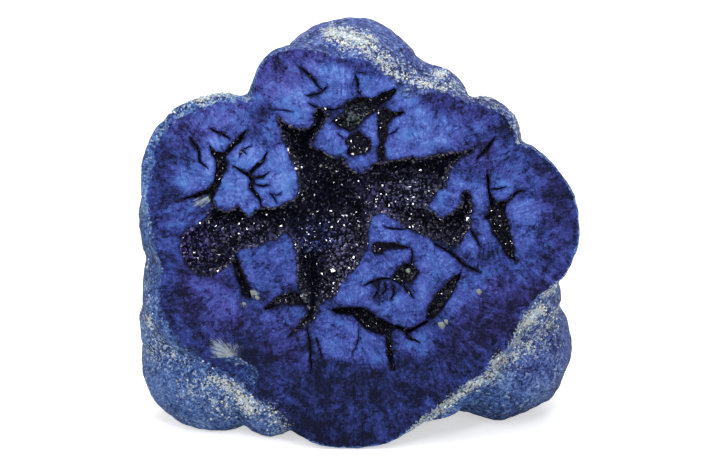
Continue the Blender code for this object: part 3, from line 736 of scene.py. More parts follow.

# %% [markdown]
# ## Bright plates
# The face isn't one blue. Each plate is bright where its fibres lie along the cut, and dark indigo
# towards the rind, with soft limits; some parts lean to violet. A painted picture could say so, but
# it has a fixed sharpness and needs a file. Soft outlines, each with its strength, are kept as
# a value on each point of the stone, and a shader reads them.

# %% Soft outlines of the bright plates
PLATES = (
    (0.9, ((-5.4, 17.4), (-4.3, 17.2), (-2.5, 17.2), (-0.8, 16.6), (-0.9, 15.3), (-3.4, 15.0),
           (-4.8, 16.2))),
    (0.95, ((-6.2, 15.8), (-5.2, 15.8), (-4.3, 14.9), (-5.0, 14.2), (-5.0, 13.3), (-4.7, 12.6),
            (-4.9, 11.5), (-5.6, 11.0), (-7.0, 11.5), (-8.6, 12.6), (-7.4, 13.6), (-6.9, 14.8))),
    (0.8, ((-3.9, 14.4), (-3.2, 15.0), (-0.8, 15.2), (-0.4, 14.4), (-1.6, 13.6), (-4.0, 13.4))),
    (0.75, ((0.0, 16.2), (1.0, 16.0), (3.6, 15.6), (4.2, 15.0), (2.8, 14.5), (1.0, 14.0),
            (0.0, 14.4))),
    (0.8, ((2.7, 13.0), (3.2, 14.1), (4.0, 14.6), (5.0, 14.4), (5.4, 13.4), (4.6, 12.6),
           (3.0, 12.6))),
    (0.84, ((2.5, 9.4), (2.9, 11.4), (3.6, 12.0), (4.9, 12.5), (5.8, 13.3), (6.6, 13.0),
           (7.0, 12.2), (8.0, 12.2), (9.2, 11.7), (9.6, 10.4), (9.0, 9.4), (7.8, 8.9),
           (6.8, 8.3), (5.2, 8.1), (3.5, 7.9), (2.6, 8.5))),
    (0.35, ((9.6, 10.4), (9.4, 12.2), (11.0, 12.4), (12.6, 11.0), (12.4, 9.4), (10.4, 9.0))),
    (0.8, ((-15.5, 10.0), (-14.3, 10.4), (-13.0, 10.0), (-13.4, 8.7), (-14.5, 8.6),
           (-15.4, 9.2))),
    (0.45, ((-14.8, 11.6), (-12.9, 10.4), (-11.3, 10.8), (-10.6, 11.6), (-11.6, 12.6),
            (-13.6, 12.6))),
    (0.9, ((-16.1, 8.9), (-15.1, 8.8), (-14.5, 7.6), (-14.4, 6.6), (-14.7, 5.4), (-15.6, 4.7),
           (-17.6, 4.3), (-18.2, 5.5), (-17.9, 7.0), (-16.4, 7.4))),
    (1.0, ((-13.3, 8.2), (-12.4, 8.9), (-11.4, 9.7), (-9.9, 9.8), (-9.5, 8.4), (-10.3, 7.3),
           (-11.2, 6.7), (-12.8, 7.0))),
    (1.0, ((-13.9, 6.3), (-12.8, 6.9), (-11.8, 6.7), (-10.8, 5.7), (-11.2, 5.0), (-10.8, 4.1),
           (-10.3, 3.1), (-10.6, 2.3), (-11.3, 2.2), (-12.0, 3.3), (-12.9, 2.8), (-14.2, 3.0),
           (-14.5, 3.8), (-14.0, 4.8))),
    (1.0, ((-9.8, 8.5), (-8.5, 9.0), (-7.3, 9.0), (-6.8, 7.4), (-6.1, 5.9), (-6.1, 4.5),
           (-7.2, 3.5), (-8.9, 2.9), (-10.0, 3.2), (-10.4, 4.8), (-9.8, 6.9))),
    (0.55, ((-9.9, 9.6), (-8.0, 9.4), (-7.2, 10.6), (-8.4, 11.9), (-10.2, 11.4))),
    (0.35, ((-17.6, 11.2), (-14.8, 13.4), (-11.4, 13.2), (-11.0, 11.6), (-15.4, 10.6))),
    (0.45, ((-10.6, 13.4), (-9.4, 15.6), (-6.6, 17.2), (-5.6, 15.6), (-7.2, 13.6), (-8.6, 12.8))),
    (0.35, ((-20.6, 2.6), (-18.2, 2.8), (-16.2, 1.4), (-18.6, 0.6), (-20.4, 0.4))),
    (0.30, ((14.6, 8.6), (17.8, 6.2), (18.4, 2.6), (16.8, 4.4), (14.4, 6.2))),
    (0.25, ((8.6, -3.2), (13.6, -2.0), (17.4, -3.4), (13.6, -8.0), (10.0, -9.4))),
    (0.5, ((-12.3, -1.4), (-11.0, -1.0), (-9.5, -0.7), (-8.4, -0.3), (-7.0, 0.0), (-6.4, -2.0),
            (-6.3, -4.5), (-7.2, -5.4), (-9.5, -5.8), (-11.0, -5.4), (-11.6, -4.3),
            (-12.5, -2.8))),
    (0.55, ((-16.8, -4.2), (-14.5, -5.0), (-12.2, -6.4), (-12.0, -8.4), (-14.0, -8.6),
            (-16.6, -6.2))),
    (0.55, ((-9.8, -7.6), (-6.2, -7.2), (-5.4, -7.4), (-6.2, -9.0), (-7.4, -10.4),
            (-9.2, -9.6), (-10.2, -8.4))),
    (0.8, ((-3.2, -8.0), (-0.9, -8.4), (0.2, -9.1), (1.4, -10.2), (2.6, -10.4), (2.9, -12.5),
           (1.0, -13.2), (-1.5, -12.9), (-3.5, -12.4), (-4.4, -10.5), (-4.2, -8.6))),
    (0.5, ((3.4, -10.2), (5.0, -10.4), (7.0, -9.4), (8.4, -9.8), (7.0, -12.0), (4.2, -12.6))),
    (0.9, ((0.8, 0.8), (1.2, 2.0), (2.0, 2.4), (3.0, 2.0), (4.1, 1.5), (5.0, 0.6),
           (5.2, -0.3), (4.4, -0.9), (3.0, -0.7), (1.6, -0.5), (0.8, -0.6))),
    (0.8, ((2.8, -1.8), (5.0, -1.3), (5.0, -2.2), (3.3, -3.1))),
    (0.85, ((0.2, -2.2), (2.0, -2.1), (3.3, -2.9), (3.2, -3.8), (1.3, -4.4), (1.2, -7.0),
            (-1.3, -7.0), (-2.5, -6.3), (-2.2, -5.3), (-0.8, -3.6))),
    (0.9, ((1.2, -7.2), (2.5, -6.7), (4.2, -5.7), (5.0, -5.6), (5.4, -6.5), (6.3, -6.8),
           (6.5, -7.8), (6.2, -8.5), (5.2, -9.2), (4.4, -9.3), (3.4, -8.8), (2.0, -7.9))),
    (0.85, ((6.0, 0.0), (8.0, -1.0), (9.6, -2.4), (9.5, -3.6), (8.3, -4.2), (7.2, -5.5),
            (6.7, -6.6), (5.7, -6.4), (5.4, -5.0), (6.0, -3.8), (5.6, -2.6), (5.6, -1.0))),
    (0.5, ((9.2, -5.3), (10.3, -3.8), (12.0, -4.0), (12.4, -5.4), (11.2, -7.2), (9.0, -8.3),
           (8.4, -7.3))),
    (0.75, ((8.9, 6.2), (9.8, 6.7), (10.6, 5.7), (10.9, 5.0), (10.3, 4.3), (10.2, 3.2),
            (9.1, 2.4), (8.2, 1.6), (6.8, 2.7), (7.2, 3.9), (7.8, 4.7), (8.6, 4.9))),
    (0.8, ((11.2, 6.0), (12.4, 6.0), (12.5, 3.5), (12.1, 1.6), (11.3, 1.8), (11.3, 4.5))),
    (0.85, ((13.1, 5.3), (14.7, 5.6), (15.5, 4.6), (14.5, 3.7), (13.3, 3.9))),
    (0.78, ((14.8, 2.8), (15.5, 4.0), (16.8, 4.1), (18.1, 3.2), (17.7, 1.5), (17.4, -0.5),
           (16.9, -1.6), (15.9, -2.8), (15.5, -0.8), (15.0, 1.2))),
    (0.7, ((11.7, 1.0), (12.8, 1.4), (13.4, 0.2), (13.3, -1.0), (12.1, -0.8))),
    (0.7, ((10.3, 0.3), (11.0, 0.6), (11.7, -0.6), (11.4, -1.6), (10.1, -1.2))),
    (0.75, ((-3.3, 11.4), (-2.7, 11.1), (-2.1, 10.7), (-1.2, 10.7), (-1.0, 10.2), (-1.6, 9.6),
            (-1.3, 9.0), (-1.7, 8.3), (-2.5, 8.1), (-4.1, 8.9), (-4.2, 9.9))),
    (0.6, ((-1.3, 8.2), (-0.5, 7.9), (1.2, 8.4), (1.5, 7.9), (1.0, 7.0), (0.2, 6.4),
           (-0.9, 7.0))),
    (0.7, ((0.6, 11.8), (1.3, 12.4), (1.8, 12.0), (1.7, 10.0), (1.5, 8.4), (1.0, 8.5),
           (1.1, 9.8), (0.2, 10.3), (-0.1, 10.9))),
)
SOFT_EDGE = 1.1
DEEPS = (
    (0.5, ((-21.5, 1.0), (-21.0, 6.5), (-19.5, 10.0), (-17.6, 10.2), (-18.4, 7.0), (-18.4, 4.4),
           (-19.4, 2.0))),
    (0.3, ((-17.8, 9.6), (-16.0, 10.2), (-15.6, 8.8), (-16.4, 7.4), (-17.8, 7.8))),
    (0.9, ((-10.6, 13.6), (-8.8, 13.2), (-8.4, 11.0), (-9.2, 9.2), (-10.2, 9.6), (-11.2, 12.0))),
    (0.9, ((-12.8, -10.6), (-9.6, -10.2), (-8.2, -12.4), (-9.6, -15.6), (-12.6, -14.0))),
    (0.6, ((-7.4, -14.4), (-1.0, -13.4), (4.0, -13.6), (8.0, -12.6), (6.6, -16.4), (0.6, -17.4),
           (-6.6, -17.2))),
    (0.7, ((-7.0, -17.8), (-1.4, -18.0), (2.0, -21.5), (-5.6, -21.5))),
    (0.5, ((9.4, -8.4), (13.0, -6.0), (17.6, -5.6), (16.4, -9.6), (13.6, -12.6), (9.2, -12.8))),
    (1.0, ((12.4, 10.4), (15.4, 9.4), (18.4, 6.4), (19.8, 2.0), (21.8, 0.0), (20.6, 7.4),
           (15.6, 12.6))),
    (0.45, ((10.4, 7.6), (12.2, 7.2), (12.2, 9.6), (10.6, 8.8))),
    (0.5, ((6.6, 14.4), (9.2, 13.8), (13.6, 12.0), (12.6, 11.2), (9.4, 12.4), (6.4, 13.4))),
    (0.5, ((-18.6, -4.6), (-16.8, -4.6), (-15.2, -6.4), (-16.6, -9.0), (-18.6, -8.4))),
    (0.5, ((-9.4, 16.2), (-7.2, 16.4), (-6.4, 18.6), (-9.2, 18.6))),
)
print(len(PLATES), "bright plates and", len(DEEPS), "deep parts")

# %% Violet parts
VIOLETS = (
    (0.9, ((-11.4, 17.4), (-6.4, 19.4), (-2.0, 18.4), (-4.8, 16.6), (-7.2, 14.0), (-11.4, 13.4))),
    (0.7, ((-19.0, 11.4), (-15.4, 13.8), (-11.4, 13.4), (-11.8, 10.8), (-15.6, 9.8), (-18.4, 8.6))),
    (0.8, ((-17.6, -2.8), (-13.6, -3.6), (-12.2, -7.0), (-10.0, -9.6), (-14.2, -10.6),
           (-18.4, -7.6))),
    (0.6, ((-9.4, -8.0), (-5.4, -9.0), (-5.4, -13.4), (-9.6, -12.8))),
    (0.7, ((9.6, 9.6), (13.4, 9.4), (14.6, 6.6), (12.4, 6.6), (10.6, 7.4))),
    (0.6, ((4.4, 15.4), (13.0, 13.2), (12.4, 10.6), (7.4, 12.8))),
    (0.7, ((13.4, -4.0), (19.6, -4.4), (16.2, -10.6), (8.4, -12.4), (9.6, -8.8))),
    (0.5, ((17.8, 8.8), (21.6, 3.0), (20.4, -4.0), (18.2, 2.2))),
)
TONE_SOFTNESS = 2.4
print(len(VIOLETS), "violet parts")

# %% [markdown]
# ## Pale seams and tufts
# Clay and pale malachite stay where the lobes meet, and a few tufts of fibres show in the polish.
# Strokes of a soft brush describe them: a strength, a width and a line, in mm. A strength above 1
# gives a solid patch, a low one scattered specks.

# %% Pale seams
PALE = (
    (1.25, 1.5, ((-2.9, 20.6), (-1.2, 20.2), (0.6, 19.6))),
    (0.65, 1.3, ((-1.6, 19.4), (1.0, 18.4), (2.6, 17.4))),
    (0.5, 1.4, ((0.4, 19.8), (2.2, 18.2), (3.6, 17.0), (5.4, 16.2), (8.0, 15.6), (10.4, 15.0),
                (13.0, 13.8), (15.0, 12.0), (15.6, 10.6))),
    (0.7, 0.7, ((2.4, 16.8), (4.4, 15.9), (8.4, 14.9))),
    (1.3, 0.7, ((7.7, 16.6), (8.5, 16.6))),
    (1.0, 1.1, ((-16.0, 13.8), (-14.4, 14.4), (-12.6, 14.7))),
    (0.4, 1.3, ((-19.6, 10.6), (-17.6, 12.8), (-16.0, 13.8))),
    (0.12, 1.6, ((-18.2, -12.6), (-16.4, -13.6), (-14.8, -14.4))),
    (1.1, 1.1, ((-14.8, -14.6), (-13.4, -15.2), (-12.3, -16.2))),
    (1.25, 1.1, ((-11.8, -16.9), (-11.0, -17.9))),
    (0.52, 2.2, ((-17.0, -15.8), (-13.6, -17.4), (-9.2, -17.8), (-7.8, -19.6))),
    (1.2, 0.55, ((-21.4, -8.5), (-21.2, -9.2))),
    (0.3, 0.9, ((-21.6, -3.0), (-21.4, -6.0), (-20.9, -10.0))),
    (0.9, 0.8, ((19.8, -5.0), (18.8, -6.2))),
    (1.35, 1.2, ((16.9, -8.9), (17.6, -8.1), (18.1, -7.6))),
    (0.9, 0.8, ((15.6, -10.8), (16.2, -9.4))),
    (0.62, 2.2, ((20.0, -8.2), (18.0, -10.6), (15.6, -12.4), (14.0, -13.4))),
    (1.0, 1.0, ((14.2, -12.6), (13.0, -14.6), (11.2, -15.4), (9.4, -16.8), (7.4, -18.4),
                (5.4, -20.0))),
)
TUFTS = (
    (0.8, 0.7, ((-16.4, 3.3), (-15.2, 3.7))),
    (0.8, 0.5, ((-10.9, -5.9), (-10.4, -5.9))),
    (0.7, 0.4, ((-11.8, -6.9), (-11.5, -7.0))),
    (1.0, 1.1, ((-14.4, -11.1), (-13.6, -11.8), (-13.1, -12.4))),
    (0.5, 1.2, ((-14.2, -12.2), (-12.6, -11.6))),
)


def line_mask(points, strokes):
    """How far each point lies in soft strokes, given as strength, width and a line."""
    left = np.ones(len(points))
    for strength, width, line in strokes:
        near = np.full(len(points), width)
        for start, end in zip(np.array(line[:-1]), np.array(line[1:])):
            run = end - start
            share = np.clip(((points - start) @ run) / max(run @ run, 1e-9), 0, 1)
            far = np.linalg.norm(points - start - share[:, None] * run, axis=1)
            near = np.minimum(near, far)
        left *= 1 - strength * (1 - near / width)
    return 1 - left


print(len(PALE), "pale seams and", len(TUFTS), "pale tufts")

# %% [markdown]
# ## What each point of the stone knows
# A shader can only mix what it is given. Each point carries its place on the bench, its distance
# from a crack, how bare of polish it is, and how far it lies in each kind of mark. The same marks
# could be made again in nodes, but they would be hard to read there. Fibres spread from the sprays'
# middles, as azurite grows. Hazes set how light broad parts of the face are, and its ground rises
# towards the top as painted light from above. Lifts turn parts of the rind violet and add painted
# light there; shades darken parts of the rind as painted shade.

# %% Broad light and dark
SPRAYS = np.array((
    (-1.6, 11.6), (6.5, 8.6), (-12.6, 5.4), (-12.6, -4.4), (-0.6, -8.6), (12.6, 1.6),
    (5.6, -5.6), (-7.2, 5.6), (-12.7, -12.2),
))
SPRAY_TURNS = 18.0
# Lifts: violet on the rind's top and lower right, with a little painted light there.
LIFTS = (
    (0.6, ((-10.0, 16.0), (-8.0, 24.0), (16.0, 24.0), (20.0, 8.0), (10.0, 10.0), (0.0, 16.0))),
    (0.5, ((14.0, -12.0), (14.0, -6.0), (24.0, -4.0), (24.0, -16.0), (16.0, -16.0))),
)
SHADES = (
    (0.6, ((0.0, 16.6), (3.0, 20.0), (8.0, 20.0), (18.0, 14.0), (18.0, 8.0), (12.0, 12.0))),
    (0.5, ((-24.0, -8.0), (-18.6, -9.0), (-15.0, -12.6), (-19.0, -15.0), (-24.0, -15.0))),
    (0.8, ((8.0, -18.4), (9.0, -24.0), (24.0, -24.0), (24.0, -12.0), (19.6, -14.0), (14.0, -17.0))),
)
HAZES = (
    (1.0, ((-21.0, 2.0), (-20.0, 10.0), (-15.0, 14.0), (-10.0, 14.0), (-8.0, 18.0), (-4.0, 18.0),
           (-6.0, 11.0), (-6.0, 4.0), (-12.0, 2.0))),
)
HAZE = 0.06
SHADE = 0.16
GROUND = 0.362
# Painted light: the face's ground level rises towards its top, as light falls from above.
PAINTED_TOPLIGHT_RISE = 0.0055
VIEW_SLOPE = math.tan(VIEW_TILT)
print(len(SPRAYS), "sprays of fibres")

# %% Creases and fibres
def surface_gap(places):
    """How much nearer the nearest lobe's surface is than the next one's, in mm: small in creases."""
    away = []
    for _, (right, up, deep), radii in LOBES:
        off = places - (right, up, -deep)
        scaled = np.linalg.norm(off / radii, axis=1)
        away.append((scaled - 1) * np.linalg.norm(off, axis=1) / np.maximum(scaled, 1e-6))
    nearest = np.sort(np.array(away), axis=0)
    return nearest[1] - nearest[0]


def spray_places(points):
    """Places in which noise becomes fibres that spread from the nearest spray's middle."""
    off = points[:, None, :] - SPRAYS[None]
    far = np.linalg.norm(off, axis=2)
    nearest = far.argmin(1)
    picked = off[np.arange(len(points)), nearest]
    reach = far[np.arange(len(points)), nearest]
    turn = SPRAY_TURNS * picked / np.maximum(reach, 0.05)[:, None]
    return np.column_stack((turn, reach * 0.22 + nearest * 7.0))


def add_field(mesh, name, values):
    """Store one value or vector for each point of a mesh."""
    values = np.asarray(values, dtype=np.float32)
    kind = "FLOAT_VECTOR" if values.ndim == 2 else "FLOAT"
    field = mesh.attributes.new(name, kind, "POINT")
    field.data.foreach_set("vector" if values.ndim == 2 else "value", values.ravel())


lobe_middle = np.array([(-1.1, 12.9, -6.2)])
print("crease field in the middle of the top lobe:", surface_gap(lobe_middle).round(1), "mm")

# %% Fields of the stone
NOT_FACE = 9.0


def dress_stone(mesh):
    """Give the stone's points the fields that its shaders read."""
    places = mesh_arrays(mesh)
    flat = flat_places[:, :2]
    seen = np.column_stack((flat[:, 0], flat[:, 1] - places[:, 2] * VIEW_SLOPE))
    shared = {tuple(place): value for place, value in zip(face_places.round(4), face_gap)}
    gap = np.array([shared.get(place, NOT_FACE) for place in map(tuple, flat.round(4))])
    front = np.flatnonzero(gap < NOT_FACE)
    add_field(mesh, "bench", places)
    add_field(mesh, "gap", np.minimum(gap, FAR))
    add_field(mesh, "depth", np.where(gap < NOT_FACE, -flat_places[:, 2], 0))
    add_field(mesh, "bare", rindness)
    for name, outlines, softness in (
            ("bright", PLATES, SOFT_EDGE), ("deep", DEEPS, TONE_SOFTNESS),
            ("violet", VIOLETS, TONE_SOFTNESS)):
        mask = np.zeros(len(places))
        mask[front] = soft_mask(flat[front], outlines, softness)
        add_field(mesh, name, mask)
    add_field(mesh, "pale", line_mask(seen, PALE) * np.clip(2 + places[:, 2] / 6, 0, 1))
    tuft = np.zeros(len(places))
    tuft[front] = line_mask(flat[front], TUFTS)
    add_field(mesh, "tuft", tuft)
    add_field(mesh, "seam", surface_gap(flat_places))
    haze = HAZE * soft_mask(flat, HAZES, 5.0)
    add_field(mesh, "ground", GROUND + PAINTED_TOPLIGHT_RISE * flat[:, 1] + haze)
    add_field(mesh, "lift", soft_mask(seen, LIFTS, 6.0))
    add_field(mesh, "shade", SHADE * soft_mask(seen, SHADES, 4.0))
    add_field(mesh, "spray", spray_places(flat))


dress_stone(stone_mesh)
print("fields:", [field.name for field in stone_mesh.attributes if not field.name.startswith(".")])

# %% [markdown]
# ## The druse's crust
# The hollow's lining is a closed sheet of its own, in the way the packed crust is: it starts at the
# star's edge, just under the polish, follows the stone down and is closed behind. A Solidify modifier
# would thicken an open sheet too, but it crosses itself in tight corners. Copying the sheet straight
# back and joining the two edges can't.

# %% The crust's sheet
CRUST_SPACING = 0.3
CRUST_BACK = 0.35
LIP = 0.07


def grow_crust():
    """The crust as a closed bmesh on the bench, and its front triangles' places."""
    edge = VOIDS[0].outline
    rows = [beside(edge, shift) for shift in (0.12, 0.3, 0.5)]
    grid = lattice(edge.min(0), edge.max(0), CRUST_SPACING)
    loose = thinned(np.concatenate(rows + [grid]), SPARSEST)
    loose = loose[inside_by(loose, edge) > 0.06]
    places, faces = triangulate([edge], loose)
    faces = faces[inside_by(places[faces].mean(axis=1), edge) > 0]
    inside = np.maximum(inside_by(places, edge, FAR), 0)
    down = LIP + druse_depth(places) * steep(inside, CRUST_WALL)
    front = np.column_stack((places, -down))
    back = np.column_stack((places, -down - CRUST_BACK))
    bm = bmesh.new()
    fronts = [bm.verts.new(place) for place in front]
    backs = [bm.verts.new(place) for place in back]
    for a, b, c in faces:
        bm.faces.new((fronts[a], fronts[b], fronts[c]))
        bm.faces.new((backs[c], backs[b], backs[a]))
    bm.verts.index_update()
    count = len(front)
    sides = [edge for edge in bm.edges if edge.is_boundary and edge.verts[0].index < count]
    bm.verts.ensure_lookup_table()
    for side in sides:
        a, b = (vert.index for vert in side.verts)
        loop = side.link_loops[0]
        if loop.vert.index != a:
            a, b = b, a
        bm.faces.new((bm.verts[b], bm.verts[a], bm.verts[a + count], bm.verts[b + count]))
    bmesh.ops.delete(bm, geom=[vert for vert in bm.verts if not vert.link_faces], context="VERTS")
    return bm, front[faces]


crust_bm, crust_front = grow_crust()
crust_mesh = bpy.data.meshes.new("druse_crust")
crust_bm.to_mesh(crust_mesh)
print("crust:", len(crust_mesh.polygons), "faces,",
      sum(edge.is_boundary for edge in crust_bm.edges), "open edges")
crust_bm.free()

# %% [markdown]
# ## Lamps and glints
# Druse glitters because a few crystal faces happen to mirror a lamp, while the others look black.
# Waiting for chance would need far more crystals than can be exported. So the lamps' places are set
# first (place and width in m, and watts): a wide one above, small ones in front for glints, and one
# behind. A normal halfway between a small lamp and the viewer gives a glint, and some crystals are
# turned to such a normal later.

# %% The lamps' places
LAMPS = (
    ("sky", (0.0, -0.10, 0.70), 0.7, 3.4),
    ("front_left", (-0.20, -0.52, 0.36), 0.07, 0.54),
    ("front_right", (0.22, -0.50, 0.30), 0.07, 0.46),
    ("front_high", (0.02, -0.42, 0.50), 0.07, 0.54),
    ("front_low", (-0.05, -0.62, 0.14), 0.07, 0.40),
    ("left_high", (-0.42, -0.20, 0.38), 0.09, 0.56),
    ("back_high", (0.15, 0.45, 0.45), 0.20, 1.0),
)
SMALL_LAMP = 0.1
VIEW = Vector((0, math.sin(VIEW_TILT), math.cos(VIEW_TILT)))
TO_BENCH = Matrix.Rotation(FACE_LEAN - math.pi / 2, 3, "X")


def glint_normals(count):
    """Facet normals that would mirror a small lamp to someone in front of the face."""
    small = [Vector(place) - Vector(FACE_MIDDLE) * MM
             for _, place, size, _ in LAMPS if size < SMALL_LAMP]
    halves = np.array([((TO_BENCH @ way).normalized() + VIEW).normalized() for way in small])
    return halves[dice.integers(0, len(halves), count)]


print(len(LAMPS), "lamps")

# %% [markdown]
# ## Where crystals grow
# They cover the crust evenly and also line the pockets' walls. Geometry nodes could scatter them.
# Here each gets a seeded place on a triangle, chosen by its area, because later steps give a crystal
# its colour and its turn by the place it stands on.

# %% Where crystals grow
CRYSTAL_COUNT = 11500
POCKET_COUNT = 6500
BELOW_POLISH = 0.12


def on_triangles(corners, count, weights=None):
    """Seeded places on triangles, evenly by area, and the triangles' normals."""
    across = np.cross(corners[:, 1] - corners[:, 0], corners[:, 2] - corners[:, 0])
    area = np.linalg.norm(across, axis=1)
    share = area if weights is None else area * weights
    picked = dice.choice(len(corners), count, p=share / share.sum())
    a, b = dice.random((2, count))
    flip = a + b > 1
    a, b = np.where(flip, 1 - a, a), np.where(flip, 1 - b, b)
    tri = corners[picked]
    places = tri[:, 0] + a[:, None] * (tri[:, 1] - tri[:, 0]) + b[:, None] * (tri[:, 2] - tri[:, 0])
    return places, across[picked] / area[picked][:, None]


def pocket_corners(mesh):
    """Corners of the triangles that were pushed below the polish, outside the star."""
    rows, slots = triangle_rows(mesh)
    rows = rows[(slots == 1) & (flat_places[rows][:, :, 2].max(1) < -BELOW_POLISH)]
    middle = flat_places[rows].mean(axis=1)
    rows = rows[inside_by(middle[:, :2], VOIDS[0].outline, 0.3) < 0]
    return mesh_arrays(mesh)[rows]


druse_places, druse_normals = on_triangles(crust_front, CRYSTAL_COUNT)
pocket_places, pocket_normals = on_triangles(pocket_corners(stone_mesh), POCKET_COUNT)
print(len(druse_places), "crystals on the crust,", len(pocket_places), "in pockets")

# %% [markdown]
# ## One crystal
# Azurite grows in the open as stubby, flat-faced blades. Each crystal is a small tilted prism with a
# roof-shaped end, rooted below the surface it stands on. Round grains would be simpler, but hard flat
# faces are what makes druse glitter. Its colour is nearly black, with violet, blue or grey-green
# grounds where the photograph has them (each a middle, a reach and a colour), stored on its points.

# %% Crystal colours
PRISM = np.array((
    (-0.5, -0.32, -0.5), (0.5, -0.32, -0.5), (0.5, 0.32, -0.5), (-0.5, 0.32, -0.5),
    (-0.5, -0.32, 0.55), (0.5, -0.32, 0.45), (0.5, 0.32, 0.45), (-0.5, 0.32, 0.55),
    (-0.28, 0.0, 0.95), (0.24, 0.0, 0.85),
))
PRISM_FACES = (
    (0, 1, 5, 4), (1, 2, 6, 5), (2, 3, 7, 6), (3, 0, 4, 7), (4, 5, 9, 8), (6, 7, 8, 9),
    (5, 6, 9), (7, 4, 8), (3, 2, 1, 0),
)
TINTS = (
    ((5.0, 4.2), (2.8, 1.7), (0.066, 0.070, 0.130)),
    ((-1.5, -2.4), (1.5, 3.2), (0.074, 0.066, 0.135)),
    ((-4.4, -0.7), (2.0, 1.1), (0.022, 0.034, 0.190)),
    ((1.6, 3.6), (2.6, 1.6), (0.040, 0.030, 0.100)),
    ((-16.6, -0.6), (2.0, 2.4), (0.055, 0.042, 0.200)),
    ((-12.0, 0.0), (3.0, 1.0), (0.050, 0.046, 0.115)),
    ((7.6, 0.6), (2.6, 0.9), (0.050, 0.048, 0.070)),
    ((-0.4, 11.9), (1.5, 1.1), (0.085, 0.110, 0.110)),
    ((-7.8, -6.6), (2.2, 0.7), (0.050, 0.050, 0.060)),
    ((8.4, -6.4), (1.4, 2.4), (0.030, 0.032, 0.040)),
    ((5.0, -3.8), (1.0, 1.0), (0.060, 0.062, 0.070)),
)
TINT_STRENGTH = 2.2
DARK_CRYSTAL = np.array((0.013, 0.015, 0.042))
POCKET_CRYSTAL = np.array((0.022, 0.022, 0.038))
EDGE_CRYSTAL = np.array((0.10, 0.085, 0.13))


def druse_tints(places):
    """A colour for each crystal: nearly black, with violet, blue or grey-green grounds."""
    flat = places[:, :2]
    share = dice.random(len(places)) ** 1.4
    in_star = inside_by(flat, VOIDS[0].outline, 0.5) > 0
    tints = np.where(in_star[:, None], DARK_CRYSTAL, POCKET_CRYSTAL * (0.4 + share[:, None]))
    for middle, reach, colour in TINTS:
        near = np.exp(-(((flat - middle) / reach) ** 2).sum(1))
        tints += (near * share)[:, None] * np.array(colour) * TINT_STRENGTH
    inside = inside_by(flat, VOIDS[0].outline, 0.5)
    edge = np.clip(1 - np.abs(inside) / 0.3, 0, 1) * np.clip(1.2 + places[:, 2], 0, 1)
    pale = (dice.random(len(places)) < 0.5) * edge
    return tints + pale[:, None] * EDGE_CRYSTAL * share[:, None]


print(len(TINTS), "grounds of colour,", len(PRISM), "points a crystal")

# %% Many crystals as one mesh
LEAN = 0.6
CRYSTAL_SIZES = (0.10, 0.36)
POCKET_SIZES = (0.07, 0.24)
GLINT_SIZES = (0.08, 0.26)


def unit(vectors):
    """Vectors of length one."""
    return vectors / np.maximum(np.linalg.norm(vectors, axis=1, keepdims=True), 1e-9)


def between(sizes, share):
    """A size at each share of the way from the smallest to the largest."""
    return sizes[0] + (sizes[1] - sizes[0]) * share


def crystals(name, places, normals, sizes, turned=()):
    """One mesh of crystals: each stands on its place, tilted off the normal."""
    count = len(places)
    stand = unit(normals + dice.normal(0, LEAN, (count, 3)))
    side = unit(np.cross(stand, dice.normal(0, 1, (count, 3))))
    size = between(sizes, dice.random(count) ** 2.2)
    if len(turned):
        side[turned] = unit(glint_normals(len(turned)) + dice.normal(0, 0.03, (len(turned), 3)))
        stand[turned] = unit(np.cross(side[turned], dice.normal(0, 1, (len(turned), 3))))
        size[turned] = between(GLINT_SIZES, dice.random(len(turned)) ** 2)
    other = np.cross(stand, side)
    shape = size[:, None] * np.column_stack((
        dice.uniform(0.7, 1.25, count), dice.uniform(0.6, 1.1, count), dice.uniform(0.6, 1.3, count)))
    local = PRISM[None] * shape[:, None, :]
    solid = (local[..., :1] * side[:, None] + local[..., 1:2] * other[:, None]
             + local[..., 2:] * stand[:, None] + places[:, None])
    faces = [tuple(corner + len(PRISM) * k for corner in face)
             for k in range(count) for face in PRISM_FACES]
    mesh = bpy.data.meshes.new(name)
    mesh.from_pydata(to_row(solid.reshape(-1, 3)).tolist(), [], faces)
    add_field(mesh, "tint", np.repeat(druse_tints(places), len(PRISM), axis=0))
    return mesh


print("crystals measure", CRYSTAL_SIZES, "mm, in pockets", POCKET_SIZES)

# %% [markdown]
# ## Which crystals glint
# On the real druse the glints gather where its slopes face the light. Turning crystals at random
# would spread them evenly. Soft patches (a count, a middle and a reach) say how many are turned and
# where, and a few more are turned in the pockets.

# %% Glints and the two crystal meshes
POCKET_GLINTS = 150
GLINTS = (
    (60, (-3.6, 3.4), (2.2, 2.6)), (60, (0.0, 1.9), (0.6, 1.4)), (26, (1.9, 3.5), (1.2, 0.8)),
    (60, (-4.4, -0.4), (1.9, 1.2)), (44, (-1.0, -1.8), (1.3, 2.4)), (64, (-12.0, 0.8), (3.2, 0.9)),
    (16, (-6.6, 10.2), (1.0, 1.2)), (24, (5.4, 4.2), (2.2, 1.4)), (26, (8.2, 0.6), (2.4, 1.0)),
    (20, (-2.6, -4.8), (0.8, 1.6)), (16, (3.5, 7.0), (3.2, 0.6)), (12, (-16.2, -1.2), (1.4, 1.8)),
)


def glint_rows():
    """Rows of crystals on the crust that are turned to a lamp, most of them where it glitters."""
    rows = []
    for count, middle, reach in GLINTS:
        far = (((druse_places[:, :2] - middle) / reach) ** 2).sum(1)
        weight = np.exp(-far)
        rows.append(dice.choice(len(druse_places), count, replace=False, p=weight / weight.sum()))
    return np.unique(np.concatenate(rows))


